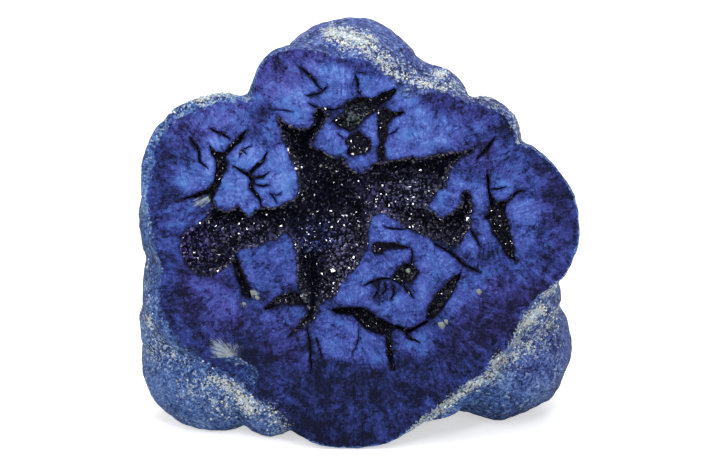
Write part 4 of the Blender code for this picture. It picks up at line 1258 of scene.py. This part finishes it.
glints = glint_rows()
druse_mesh = crystals("druse_crystals", druse_places, druse_normals, CRYSTAL_SIZES, turned=glints)
pocket_glints = dice.choice(POCKET_COUNT, POCKET_GLINTS, replace=False)
pocket_mesh = crystals("pocket_crystals", pocket_places, pocket_normals, POCKET_SIZES,
                       turned=pocket_glints)
print("faces:", len(druse_mesh.polygons), len(pocket_mesh.polygons))

# %% [markdown]
# ## Crumbs of pale clay
# Clay and malachite cling to the rind's seams as crumbs. Colour alone would leave the seams smooth,
# and a particle system would drop its crumbs evenly. Here they are small lumps, half sunk, most of
# them where the pale seams lie. A few larger grains (right, up, height and radius in mm) are held in
# the sawn face and were cut flat with it.

# %% Pale crumbs
CRUMB_COUNT = 1800
CRUMB_SIZES = (0.10, 0.34)
OFF_FACE = 0.05
OFF_FLOOR = 0.0005
POLISH = 0.012
GRAIN_TINT = (0.24, 0.27, 0.25)
HELD_GRAINS = ((11.9, -5.7, -0.05, 0.38), (8.2, -9.1, -0.10, 0.50), (8.7, -8.7, -0.08, 0.34),
               (4.8, -3.6, -0.45, 0.30), (-10.7, -5.8, -0.12, 0.40), (-10.3, -6.3, -0.1, 0.30),
               (-11.6, -6.9, -0.05, 0.25))
CRUMB_TINTS = np.array((
    (0.78, 0.88, 0.95), (0.88, 0.90, 0.84), (0.62, 0.76, 0.90), (0.34, 0.50, 0.78)))


def crumb_corners(mesh):
    """Corners of the rind's triangles and how pale each one is."""
    places = mesh_arrays(mesh)
    rows, _ = triangle_rows(mesh)
    pale = np.zeros(len(places), dtype=np.float32)
    mesh.attributes["pale"].data.foreach_get("value", pale)
    share = pale[rows].mean(axis=1) ** 1.5
    share[(places[rows][:, :, 2] > -OFF_FACE).any(axis=1)] = 0
    share[(to_row(places)[rows][:, :, 2] < OFF_FLOOR).any(axis=1)] = 0
    return places[rows], share


def crumbs(name):
    """Lumpy pale crumbs as one mesh."""
    ball = bmesh.new()
    bmesh.ops.create_icosphere(ball, subdivisions=1, radius=0.5)
    unit_ball = np.array([vert.co for vert in ball.verts])
    ball_faces = np.array([[vert.index for vert in face.verts] for face in ball.faces])
    ball.free()
    corners, share = crumb_corners(stone_mesh)
    places, _ = on_triangles(corners, CRUMB_COUNT, share)
    sizes = between(CRUMB_SIZES, dice.random(CRUMB_COUNT) ** 3)
    held = np.array(HELD_GRAINS)
    places = np.concatenate((places, held[:, :3]))
    sizes = np.concatenate((sizes, held[:, 3] * 2))
    uneven = dice.uniform(0.55, 1.25, (len(sizes), len(unit_ball), 1))
    solid = unit_ball[None] * sizes[:, None, None] * uneven + places[:, None]
    solid[CRUMB_COUNT:, :, 2] = np.minimum(solid[CRUMB_COUNT:, :, 2], POLISH)
    faces = ball_faces[None] + (np.arange(len(sizes)) * len(unit_ball))[:, None, None]
    mesh = bpy.data.meshes.new(name)
    mesh.from_pydata(to_row(solid.reshape(-1, 3)).tolist(), [], faces.reshape(-1, 3).tolist())
    tints = CRUMB_TINTS[dice.integers(0, len(CRUMB_TINTS), len(sizes))]
    tints = tints * dice.uniform(0.6, 1.25, (len(sizes), 1))
    tints[CRUMB_COUNT:] = GRAIN_TINT
    add_field(mesh, "tint", np.repeat(tints, len(unit_ball), axis=0))
    return mesh


crumb_mesh = crumbs("pale_crumbs")
print("crumbs:", len(crumb_mesh.polygons), "faces")

# %% [markdown]
# ## Stand the pieces up
# Each mesh goes from the bench to the frame that the packed solids share, rides on the one body there
# is, and stands for its packed solid. Moving the points themselves, not the object, keeps every
# object's own transform plain. Nothing may reach below the floor, so the feet are pressed flat there.

# %% Pieces
def stand_up(mesh):
    """Move a mesh's points from the bench to the row's frame."""
    places = to_row(mesh_arrays(mesh))
    places[:, 2] = np.maximum(places[:, 2], 0.0)
    mesh.vertices.foreach_set("co", places.ravel())
    mesh.update()


def add_piece(name, mesh, smooth, materials):
    """A piece of the object, in place and riding."""
    for material in materials:
        mesh.materials.append(material)
    mesh.polygons.foreach_set("use_smooth", [smooth] * len(mesh.polygons))
    piece = bpy.data.objects.new(name, mesh)
    bpy.context.scene.collection.objects.link(piece)
    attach(piece, "root")
    return piece


stand_up(stone_mesh)
stand_up(crust_mesh)
print("stone stands from", mesh_arrays(stone_mesh).min(0).round(4), "m")

# %% [markdown]
# ## Shader helpers
# A node tree written call by call is long and hard to follow. Small helpers take numbers and sockets
# alike, so that a tree reads like a formula.

# %% Node helpers
class Tree:
    """Adds nodes to a tree; values and sockets are given alike."""

    def __init__(self, tree):
        """Work in this node tree."""
        self.tree = tree

    def add(self, kind, out=0, settings=None, **inputs):
        """A node and one of its outputs; i0 is its first input, and other names are labels."""
        node = self.tree.nodes.new(kind)
        for key, value in (settings or {}).items():
            setattr(node, key, value)
        for key, value in inputs.items():
            name = key.replace("_", " ")
            numbered = name[0] == "i" and name[1:].isdigit()
            self.feed(node.inputs[int(name[1:]) if numbered else name], value)
        return node.outputs[out]

    def feed(self, socket, value):
        """Link a socket, or set a number or a colour on it."""
        if isinstance(value, bpy.types.NodeSocket):
            self.tree.links.new(value, socket)
        elif socket.type == "RGBA" and len(value) == 3:
            socket.default_value = (*value, 1.0)
        else:
            socket.default_value = value

    def math(self, kind, a, b=0.0, c=0.0, clamp=False):
        """One step of arithmetic."""
        settings = {"operation": kind, "use_clamp": clamp}
        return self.add("ShaderNodeMath", settings=settings, i0=a, i1=b, i2=c)

    def field(self, name, vector=False):
        """A field that the mesh carries."""
        settings = {"attribute_type": "GEOMETRY", "attribute_name": name}
        return self.add("ShaderNodeAttribute", out=1 if vector else 2, settings=settings)

    def noise(self, place, scale, detail=2.0, roughness=0.5, distortion=0.0):
        """Noise between 0 and 1."""
        return self.add("ShaderNodeTexNoise", Vector=place, Scale=scale, Detail=detail,
                        Roughness=roughness, Distortion=distortion)

    def ramp(self, value, low, high):
        """0 at the low end and 1 at the high end, with soft ends."""
        settings = {"interpolation_type": "SMOOTHSTEP"}
        return self.add("ShaderNodeMapRange", settings=settings, i0=value, i1=low, i2=high)

    def group(self, made, out=0, **inputs):
        """A shared group, placed with its own values; the node itself where out is None."""
        node = self.tree.nodes.new("ShaderNodeGroup")
        node.node_tree = made
        for name, value in inputs.items():
            self.feed(node.inputs[name], value)
        return node if out is None else node.outputs[out]

    def bump(self, height, strength, distance):
        """A normal from a height."""
        return self.add("ShaderNodeBump", Height=height, Strength=strength, Distance=distance)

    def shifted(self, place, by):
        """The same place elsewhere in the noise, so two noises there differ."""
        return self.add("ShaderNodeVectorMath", settings={"operation": "ADD"}, i0=place,
                        i1=(by, -by, by))

    def steps(self, value, stops):
        """A colour ramp through stops of position and colour."""
        node = self.tree.nodes.new("ShaderNodeValToRGB")
        self.feed(node.inputs[0], value)
        while len(node.color_ramp.elements) < len(stops):
            node.color_ramp.elements.new(0.5)
        for element, (position, colour) in zip(node.color_ramp.elements, stops):
            element.position = position
            element.color = (*colour, 1.0)
        return node.outputs[0]

    def mix(self, share, first, second):
        """A colour between two colours."""
        node = self.tree.nodes.new("ShaderNodeMix")
        node.data_type = "RGBA"
        self.feed(node.inputs[0], share)
        self.feed(node.inputs[6], first)
        self.feed(node.inputs[7], second)
        return node.outputs[2]


def material(name):
    """An empty material: the tree and its Principled shader."""
    made = bpy.data.materials.new(name)
    made.use_nodes = True
    shader = made.node_tree.nodes["Principled BSDF"]
    return made, Tree(made.node_tree), shader


print("a tree can", [step for step in vars(Tree) if not step.startswith("_")])

# %% [markdown]
# ## Velvet, fibres and flecks
# Sawn azurite looks like brushed velvet: cloudy light and dark, with fibres that fan out and small
# irregular flecks. The face and the rind both show them, so each effect is a group that is built once
# and placed with its own sizes. A single noise could stand for all three, but its look would be the
# same at every scale.

# %% Velvet, fibres and flecks
VALUE, VECTOR, COLOUR = "NodeSocketFloat", "NodeSocketVector", "NodeSocketColor"


def group(name, inputs, outputs):
    """An empty node group with named inputs and outputs; returns it with its two ends."""
    made = bpy.data.node_groups.new(name, "ShaderNodeTree")
    for label, kind, value in inputs:
        socket = made.interface.new_socket(label, in_out="INPUT", socket_type=kind)
        if value is not None:
            socket.default_value = value
    for label, kind in outputs:
        made.interface.new_socket(label, in_out="OUTPUT", socket_type=kind)
    tree = Tree(made)
    start = made.nodes.new("NodeGroupInput").outputs
    end = made.nodes.new("NodeGroupOutput").inputs
    return made, tree, start, end


def velvet_group():
    """Cloudy light and dark like brushed velvet, between 0 and 1."""
    made, tree, start, end = group(
        "velvet_mottle", (("Place", VECTOR, None), ("Size", VALUE, 1.0)), (("Value", VALUE),))
    scale = tree.math("DIVIDE", 1.0, start["Size"])
    cloud = tree.noise(start["Place"], scale, 5.0, 0.62, 0.6)
    fine = tree.noise(start["Place"], tree.math("MULTIPLY", scale, 4.3), 3.0, 0.7)
    both = tree.math("MULTIPLY_ADD", fine, 0.32, tree.math("MULTIPLY", cloud, 0.68))
    tree.feed(end["Value"], tree.ramp(both, 0.36, 0.64))
    return made


def fibre_group():
    """Fibres that spread like a fan, between 0 and 1."""
    made, tree, start, end = group(
        "fibre_spray", (("Spray", VECTOR, None), ("Fineness", VALUE, 1.0)), (("Value", VALUE),))
    threads = tree.noise(start["Spray"], start["Fineness"], 3.0, 0.65, 0.3)
    tree.feed(end["Value"], tree.ramp(threads, 0.34, 0.66))
    return made


def fleck_group():
    """A mask of irregular flecks; Cover says how much of the place they take."""
    made, tree, start, end = group(
        "flecks", (("Place", VECTOR, None), ("Size", VALUE, 0.3), ("Cover", VALUE, 0.2),
                   ("Softness", VALUE, 0.04)), (("Mask", VALUE),))
    scale = tree.math("DIVIDE", 1.0, start["Size"])
    lumps = tree.noise(start["Place"], scale, 2.0, 0.6, 0.4)
    limit = tree.math("MULTIPLY_ADD", start["Cover"], -0.42, 0.72)
    high = tree.math("ADD", limit, start["Softness"])
    tree.feed(end["Mask"], tree.ramp(lumps, limit, high))
    return made


VELVET = velvet_group()
FIBRE = fibre_group()
FLECK = fleck_group()
print("groups:", [made.name for made in bpy.data.node_groups])

# %% [markdown]
# ## Fissures and grains
# Plates begin to part along fine broken lines, and the rind is made of small angular grains. Both
# come from cells: a Voronoi texture's distance to its cells' edges draws the lines, and the value of
# each cell gives each grain a shade of its own. Noise bends the cells first, or they look like tiles.

# %% Fissures and grains
def fissure_group():
    """Thin broken lines between cells, as where plates begin to part."""
    made, tree, start, end = group(
        "fissures", (("Place", VECTOR, None), ("Size", VALUE, 1.5), ("Width", VALUE, 0.05)),
        (("Mask", VALUE),))
    scale = tree.math("DIVIDE", 1.0, start["Size"])
    bend = tree.add("ShaderNodeTexNoise", out=1, Vector=start["Place"], Scale=1.1, Detail=3.0)
    bent = tree.add("ShaderNodeVectorMath", settings={"operation": "MULTIPLY_ADD"}, i0=bend,
                    i1=(1.1, 1.1, 1.1), i2=start["Place"])
    cells = tree.add("ShaderNodeTexVoronoi", settings={"feature": "DISTANCE_TO_EDGE"},
                     Vector=bent, Scale=scale)
    line = tree.ramp(cells, start["Width"], 0.0)
    broken = tree.ramp(tree.noise(start["Place"], 0.7, 2.0), 0.5, 0.6)
    tree.feed(end["Mask"], tree.math("MULTIPLY", line, broken))
    return made


def facet_group():
    """A value of its own, between 0 and 1, for each small angular grain."""
    made, tree, start, end = group(
        "grain_facets", (("Place", VECTOR, None), ("Size", VALUE, 0.25)), (("Value", VALUE),))
    scale = tree.math("DIVIDE", 1.0, start["Size"])
    bend = tree.add("ShaderNodeTexNoise", out=1, Vector=start["Place"], Scale=3.0, Detail=2.0)
    bent = tree.add("ShaderNodeVectorMath", settings={"operation": "MULTIPLY_ADD"}, i0=bend,
                    i1=(0.3, 0.3, 0.3), i2=start["Place"])
    cells = tree.add("ShaderNodeTexVoronoi", out=1, Vector=bent, Scale=scale)
    tree.feed(end["Value"], tree.add("ShaderNodeSeparateColor", Color=cells))
    return made


FISSURE = fissure_group()
FACET = facet_group()
print("groups:", [made.name for made in bpy.data.node_groups])

# %% [markdown]
# ## The rind's grains
# The unpolished rind is a felt of tiny crystals: mid blue, with pits painted darker as shade between
# them, grains painted pale as glints where facets would catch the light, and chalky clay in the
# seams, sooty at its edges. All of it could be real grains, but that would be millions of faces.
# Colour and a bump do for the finest, and the larger crumbs are meshes.

# %% The rind's grains
RIND_BLUES = (
    (0.00, (0.004, 0.010, 0.034)), (0.24, (0.026, 0.056, 0.210)), (0.46, (0.072, 0.155, 0.480)),
    (0.70, (0.160, 0.310, 0.700)), (1.00, (0.420, 0.600, 0.900)),
)
RIND_VIOLETS = (
    (0.00, (0.008, 0.008, 0.034)), (0.24, (0.034, 0.044, 0.200)), (0.46, (0.090, 0.120, 0.470)),
    (0.70, (0.190, 0.255, 0.700)), (1.00, (0.440, 0.560, 0.900)),
)
PAINTED_GLINT_BLUE = (0.62, 0.76, 0.96)
COOL_CHALK = (0.78, 0.90, 1.0)
WARM_CHALK = (0.97, 0.98, 0.93)
SOOT = (0.012, 0.016, 0.04)


def rind_group():
    """Granular blue rind, clay where Pale is high or Seam is low; Lift adds violet and painted light,
    Shade painted shade.
    """
    made, tree, start, end = group(
        "granular_rind",
        (("Place", VECTOR, None), ("Pale", VALUE, 0.0), ("Seam", VALUE, 9.0), ("Lift", VALUE, 0.0),
         ("Shade", VALUE, 0.0)),
        (("Color", COLOUR), ("Height", VALUE)))
    place = start["Place"]
    dusty = tree.ramp(tree.noise(tree.shifted(place, 5.0), 0.16, 3.0, 0.55), 0.40, 0.62)
    # The pits are painted darker as shade, besides their bump.
    pits = tree.group(FLECK, Place=place, Size=0.24, Cover=0.50)
    facet = tree.group(FACET, Place=place, Size=0.22)
    # Lift adds painted light to the level, and Shade takes it down as painted shade.
    level = tree.math("MULTIPLY_ADD", start["Lift"], 0.05, 0.04)
    level = tree.math("MULTIPLY_ADD", dusty, 0.14, tree.math("SUBTRACT", level, start["Shade"]))
    for part, amount in ((tree.group(VELVET, Place=place, Size=2.6), 0.34),
                         (tree.group(VELVET, Place=tree.shifted(place, 9.0), Size=0.45), 0.40),
                         (facet, 0.20), (pits, -0.28)):
        level = tree.math("MULTIPLY_ADD", part, amount, level)
    seam = tree.math("MULTIPLY", tree.ramp(start["Seam"], 1.6, 0.0),
                     tree.math("MULTIPLY_ADD", dusty, 0.42, 0.06))
    near = tree.math("MAXIMUM", start["Pale"], seam)
    spread = tree.math("MULTIPLY_ADD", tree.noise(place, 1.3, 3.0, 0.6), 1.9, -1.02)
    speck = tree.group(FLECK, Place=tree.shifted(place, 17.0), Size=0.20,
                       Cover=tree.math("MULTIPLY_ADD", near, 0.85, spread), Softness=0.04)
    solid = tree.ramp(near, 0.90, 1.15)
    clay = tree.math("MAXIMUM", solid, tree.math("MULTIPLY", speck, tree.ramp(near, 0.02, 0.25)))
    # Painted glints: the grains with the highest values are painted pale blue, as facets that catch the
    # light.
    painted_glint = tree.math("MULTIPLY_ADD", near, -0.22, 0.93)
    painted_glint = tree.math("MULTIPLY", tree.ramp(facet, painted_glint, tree.math("ADD", painted_glint, 0.04)),
                    tree.math("MULTIPLY_ADD", near, 0.35, 0.55))
    blue = tree.mix(tree.math("MULTIPLY", start["Lift"], 1.2, clamp=True),
                    tree.steps(level, RIND_BLUES), tree.steps(level, RIND_VIOLETS))
    blue = tree.mix(painted_glint, blue, PAINTED_GLINT_BLUE)
    warm = tree.math("MULTIPLY", tree.ramp(tree.noise(place, 1.2, 3.0), 0.35, 0.60),
                     tree.ramp(near, 0.25, 0.80))
    chalky = tree.mix(clay, blue, tree.mix(warm, COOL_CHALK, WARM_CHALK))
    soot = tree.group(FLECK, Place=tree.shifted(place, 61.0), Size=0.27,
                      Cover=tree.math("MULTIPLY", near, 0.55), Softness=0.05)
    soot = tree.math("MULTIPLY", soot, tree.ramp(near, 0.15, 0.50))
    soot = tree.math("MULTIPLY", soot, tree.math("MULTIPLY_ADD", solid, -0.75, 0.85))
    tree.feed(end["Color"], tree.mix(soot, chalky, SOOT))
    height = tree.math("MULTIPLY_ADD", pits, -0.5, tree.noise(place, 3.6, 5.0, 0.75))
    height = tree.math("MULTIPLY_ADD", facet, 0.3, height)
    tree.feed(end["Height"], tree.math("MULTIPLY_ADD", clay, 0.4, height))
    return made


RIND_GRAINS = rind_group()
given = [item.name for item in RIND_GRAINS.interface.items_tree if item.in_out == "OUTPUT"]
print("the rind's group gives", given)

# %% [markdown]
# ## Azurite's blues
# The mineral runs from near black through indigo to cornflower, and thin or strained parts lean to
# violet. Mixing two end colours would pass through grey. Two ramps with listed stops keep
# each step a blue that the stone has.

# %% Azurite's blues
BLUES = (
    (0.00, (0.004, 0.006, 0.024)), (0.22, (0.012, 0.018, 0.080)), (0.45, (0.026, 0.042, 0.215)),
    (0.70, (0.060, 0.098, 0.390)), (0.88, (0.092, 0.160, 0.530)), (1.00, (0.155, 0.275, 0.660)),
)
VIOLET_BLUES = (
    (0.00, (0.006, 0.006, 0.026)), (0.22, (0.018, 0.017, 0.085)), (0.45, (0.040, 0.040, 0.225)),
    (0.70, (0.080, 0.096, 0.390)), (0.88, (0.112, 0.145, 0.520)), (1.00, (0.175, 0.245, 0.650)),
)


def blues_group():
    """Azurite's blues from near black to cornflower by Level, turned to violet by Violet."""
    made, tree, start, end = group(
        "azurite_blues", (("Level", VALUE, 0.5), ("Violet", VALUE, 0.0)), (("Color", COLOUR),))
    tree.feed(end["Color"], tree.mix(start["Violet"],
                                     tree.steps(start["Level"], BLUES),
                                     tree.steps(start["Level"], VIOLET_BLUES)))
    return made


AZURITE_BLUES = blues_group()
print("groups:", [made.name for made in bpy.data.node_groups])

# %% [markdown]
# ## The polished face
# How light the polish is comes first, as one level: the plates raise it, the deep parts lower it, and
# velvet, fibres, flecks and holes play round it. The level then picks a blue. Building a level first
# and a colour last keeps every mark in the same family of blues; mixing colours mark by mark doesn't.
# Cracks and pockets are painted near black inside as shade, the face beside a crack is darker, and pale
# tufts lie on top.

# %% How light the polish is
def face_level(tree, bench, spray):
    """How light the polished stone is at each place."""
    bright = tree.field("bright")
    # The ground field carries painted light: it rises towards the top of the face.
    ground = tree.math("MULTIPLY_ADD", tree.field("deep"), -0.22, tree.field("ground"))
    level = tree.math("MULTIPLY_ADD", bright, 0.375, ground)
    broad = tree.group(VELVET, Place=bench, Size=1.7)
    parts = (
        (broad, 0.32),
        (tree.group(VELVET, Place=tree.shifted(bench, 77.0), Size=0.6), 0.26),
        (tree.group(FIBRE, Spray=spray, Fineness=1.0), 0.14),
        (tree.group(FIBRE, Spray=spray, Fineness=2.6), 0.08),
    )
    for part, amount in parts:
        level = tree.math("ADD", level, tree.math("MULTIPLY_ADD", part, amount, -amount / 2))
    specks = tree.group(FLECK, Place=bench, Size=0.20, Cover=0.30)
    level = tree.math("MULTIPLY_ADD", specks, 0.20, level)
    cover = tree.math("MULTIPLY_ADD", broad, -0.45, 0.62)
    cover = tree.math("MULTIPLY_ADD", bright, -0.22, cover)
    holes = tree.group(FLECK, Place=tree.shifted(bench, 31.0), Size=0.40, Cover=cover, Softness=0.10)
    return tree.math("MULTIPLY_ADD", holes, -0.26, level)


print("the level starts from", GROUND, "in the middle of the face")

# %% The polish's colour
TEAL = (0.050, 0.180, 0.500)
TEAL_SHARE = 0.42
CRACK_SHADE_BLACK = (0.007, 0.007, 0.024)
TUFT_GREY = (0.36, 0.43, 0.44)
TUFT_SHARE = 0.80


def pale_marks(tree, bench, spray):
    """A mask of the pale flecks and tufts that lie in the polish."""
    flecks = tree.group(FLECK, Place=tree.shifted(bench, 13.0), Size=0.24, Cover=tree.field("pale"),
                        Softness=0.06)
    flecks = tree.math("MULTIPLY", flecks, tree.ramp(tree.field("pale"), 0.10, 0.45))
    threads = tree.math("MULTIPLY_ADD", tree.group(FIBRE, Spray=spray, Fineness=1.6), 0.60,
                        tree.math("ADD", tree.field("tuft"), -0.18))
    threads = tree.math("MULTIPLY_ADD", tree.group(VELVET, Place=tree.shifted(bench, 41.0), Size=0.5),
                        0.40, threads)
    tuft = tree.ramp(tree.field("tuft"), 0.0, 0.25)
    tuft = tree.math("MULTIPLY", tree.ramp(threads, 0.62, 1.35), tuft)
    return tree.math("MULTIPLY", tree.math("MAXIMUM", flecks, tuft), TUFT_SHARE)


def face_colour(tree, bench, spray):
    """Polished azurite: blue by plates, mottling and fibres; painted shade, near black, inside its
    cracks.
    """
    level = face_level(tree, bench, spray)
    fissures = tree.group(FISSURE, Place=bench, Size=1.7, Width=0.05)
    level = tree.math("MULTIPLY_ADD", fissures, -0.3, level)
    gap = tree.math("ADD", tree.field("gap"), -0.30)
    ragged_gap = tree.math("MULTIPLY_ADD", tree.noise(bench, 3.0, 3.0), 0.6, gap)
    level = tree.math("MULTIPLY_ADD", tree.ramp(ragged_gap, 0.25, 0.0), -0.30, level)
    wander = tree.ramp(tree.noise(bench, 0.55, 3.0), 0.42, 0.62)
    violet = tree.math("ADD", tree.field("violet"), tree.math("MULTIPLY", wander, 0.25), clamp=True)
    blue = tree.group(AZURITE_BLUES, Level=level, Violet=violet)
    teal = tree.ramp(tree.noise(tree.shifted(bench, 23.0), 0.6, 4.0, 0.6), 0.50, 0.66)
    teal = tree.math("MULTIPLY", teal, tree.ramp(level, 0.3, 0.8))
    blue = tree.mix(tree.math("MULTIPLY", teal, TEAL_SHARE), blue, TEAL)
    # Painted shade: walls and floors below the polish turn near black.
    walls = tree.ramp(tree.field("depth"), 0.03, 0.14)
    blue = tree.mix(walls, blue, CRACK_SHADE_BLACK)
    return tree.mix(pale_marks(tree, bench, spray), blue, TUFT_GREY)


print("the polish leans to teal by up to", TEAL_SHARE)

# %% [markdown]
# ## One material for the stone
# Polish and rind meet in a ragged line, and at soft rims one fades into the other. Two materials
# would meet in a hard line along the triangles. One material mixes both by how bare each point is,
# and only the rind gets the bump.

# %% The stone's material
STONE_ROUGHNESS = 0.48
RIND_BUMP = 0.0003


def rind_look(tree, bench):
    """The granular rind's colour and height, with the pale and seam fields of the stone."""
    node = tree.group(RIND_GRAINS, out=None, Place=bench, Pale=tree.field("pale"),
                      Seam=tree.field("seam"), Lift=tree.field("lift"), Shade=tree.field("shade"))
    return node.outputs["Color"], node.outputs["Height"]


def stone_material():
    """The polished face and the rind, mixed by how bare of polish each place is."""
    made, tree, shader = material("azurite")
    bench = tree.field("bench", vector=True)
    patchy = tree.math("MULTIPLY_ADD", tree.group(VELVET, Place=tree.shifted(bench, 3.0), Size=0.5), 0.5,
                       tree.math("ADD", tree.field("bare"), -0.25))
    bare = tree.ramp(patchy, 0.3, 0.7)
    rind, height = rind_look(tree, bench)
    face = face_colour(tree, bench, tree.field("spray", vector=True))
    tree.feed(shader.inputs["Base Color"], tree.mix(bare, face, rind))
    tree.feed(shader.inputs["Roughness"], STONE_ROUGHNESS)
    tree.feed(shader.inputs["Specular IOR Level"], tree.math("MULTIPLY_ADD", bare, 0.14, 0.08))
    tree.feed(shader.inputs["Normal"], tree.bump(height, bare, RIND_BUMP))
    return made


STONE = stone_material()
print("material:", STONE.name, "with", len(STONE.node_tree.nodes), "nodes")

# %% [markdown]
# ## Druse and clay
# Azurite's crystals are glassy and bend light strongly (an index of 1.76), so they need a smooth
# surface and that index, and each its own tint. See-through glass would show the crust behind and
# take long to render, and such dark crystals let no light through. The crust under them and the clay
# are dull, and the crust is near black: dark druse, with painted shade between the crystals.

# %% Druse and clay
AZURITE_INDEX = 1.76
CLAY_INDEX = 1.5
GLASSY = 0.10
DULL = 0.9
# Near black: the druse's own dark, deepened as painted shade between its crystals.
CRUST_BLACK_AND_SHADE = (0.004, 0.004, 0.010)


def druse_material(name, roughness, tint=None, clay=False):
    """Glassy crystals, each in its own tint, or dull ground and clay."""
    made, tree, shader = material(name)
    tree.feed(shader.inputs["Base Color"], tint or tree.field("tint", vector=True))
    tree.feed(shader.inputs["Roughness"], roughness)
    tree.feed(shader.inputs["IOR"], CLAY_INDEX if clay else AZURITE_INDEX)
    tree.feed(shader.inputs["Specular IOR Level"], 0.05 if tint or clay else 0.5)
    return made


DRUSE = druse_material("druse_crystal", GLASSY)
CRUST = druse_material("druse_ground", DULL, CRUST_BLACK_AND_SHADE)
CRUMB = druse_material("pale_clay", DULL, clay=True)
print("materials:", [made.name for made in bpy.data.materials])

# %% [markdown]
# ## Five pieces
# The stone is smooth on its rind and flat on the sawn face, whose slots were only a note for the
# steps before, so they go back to the one material. The crust stands for the packed crust. Crystals
# and crumbs are loose detail on the same body.

# %% Five pieces
_, on_face = triangle_rows(stone_mesh)
stone_mesh.polygons.foreach_set("material_index", 0 * on_face)
stone = add_piece("azurite_stone", stone_mesh, True, (STONE,))
stone_mesh.polygons.foreach_set("use_smooth", on_face == 0)
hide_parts("azurite_nodule")
crust = add_piece("druse_crust", crust_mesh, True, (CRUST,))
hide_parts("crystal_crust")
druse = add_piece("druse_crystals", druse_mesh, False, (DRUSE,))
pockets = add_piece("pocket_crystals", pocket_mesh, False, (DRUSE,))
crumb = add_piece("pale_crumbs", crumb_mesh, True, (CRUMB,))
print("pieces:", [piece.name for piece in (stone, crust, druse, pockets, crumb)])

# %% [markdown]
# ## Floor and light
# The stone stands on a pale sheet in soft light, as in a photographer's tent: a wide lamp above, a
# faint glow all round, small lamps in front and at the left for glints, and one behind. A picture of
# a studio could light it too, but lamps need no file. The sheet looks brighter to the camera than it
# is to the stone, so the ground is near white while the rind's underside stays dark.

# %% Floor and light
SHEET_TO_STONE = (0.66, 0.66, 0.66)
SHEET_TO_CAMERA = (0.78, 0.78, 0.78)
SHEET_GLOW = 0.55
SHEET_HALF = 2.0
TENT_GLOW = 0.22


def floor_material():
    """A white sheet that gives back less light to the stone than the camera sees."""
    made, tree, shader = material("pale_sheet")
    seen = tree.add("ShaderNodeLightPath", out=0)
    tree.feed(shader.inputs["Base Color"], tree.mix(seen, SHEET_TO_STONE, SHEET_TO_CAMERA))
    tree.feed(shader.inputs["Roughness"], 0.9)
    tree.feed(shader.inputs["Specular IOR Level"], 0.0)
    tree.feed(shader.inputs["Emission Color"], (1.0, 1.0, 1.0))
    tree.feed(shader.inputs["Emission Strength"], tree.math("MULTIPLY", seen, SHEET_GLOW))
    return made


def add_floor():
    """The sheet, a plain square; it is stage and no piece of the object."""
    bm = bmesh.new()
    bmesh.ops.create_grid(bm, x_segments=1, y_segments=1, size=SHEET_HALF)
    mesh = bpy.data.meshes.new("floor")
    bm.to_mesh(mesh)
    bm.free()
    mesh.materials.append(floor_material())
    floor = bpy.data.objects.new("floor", mesh)
    bpy.context.scene.collection.objects.link(floor)


def add_lamp(name, place, size, watts):
    """A square soft lamp aimed at the middle of the face."""
    data = bpy.data.lights.new(name, "AREA")
    data.size = size
    data.energy = watts
    lamp = bpy.data.objects.new(name, data)
    lamp.location = place
    toward = Vector(FACE_MIDDLE) * MM - Vector(place)
    lamp.rotation_euler = toward.to_track_quat("-Z", "Y").to_euler()
    bpy.context.scene.collection.objects.link(lamp)


add_floor()
for lamp in LAMPS:
    add_lamp(*lamp)
world = bpy.data.worlds.new("tent")
world.use_nodes = True
glow = world.node_tree.nodes["Background"].inputs
glow["Color"].default_value = (1.0, 1.0, 1.0, 1.0)
glow["Strength"].default_value = TENT_GLOW
bpy.context.scene.world = world
bpy.context.scene.view_settings.view_transform = "Standard"
print("world and lamps are set")

# %% [markdown]
# ## Camera
# The photograph looks down by 18 degrees, straight at the sawn face, from far enough that the lobes
# behind are only a little smaller. A long lens from 0.3 m gives the same. Lens, distance and aim were
# set until the outline lay over the photograph's.

# %% Camera
AIM = Vector((-0.44, -10.11, 21.8)) * MM
ELEVATION = math.radians(18.0)
DISTANCE = 0.295
lens = bpy.data.cameras.new("camera")
lens.lens = 150.0
lens.sensor_width = 36.0
lens.clip_start = 0.01
camera = bpy.data.objects.new("camera", lens)
camera.location = AIM + DISTANCE * Vector((0, -math.cos(ELEVATION), math.sin(ELEVATION)))
camera.rotation_euler = (math.pi / 2 - ELEVATION, 0, 0)
bpy.context.scene.collection.objects.link(camera)
bpy.context.scene.camera = camera
print("camera at", [round(value, 4) for value in camera.location])

# %% [markdown]
# The dressed stone may pass the packed box by a little and no more.
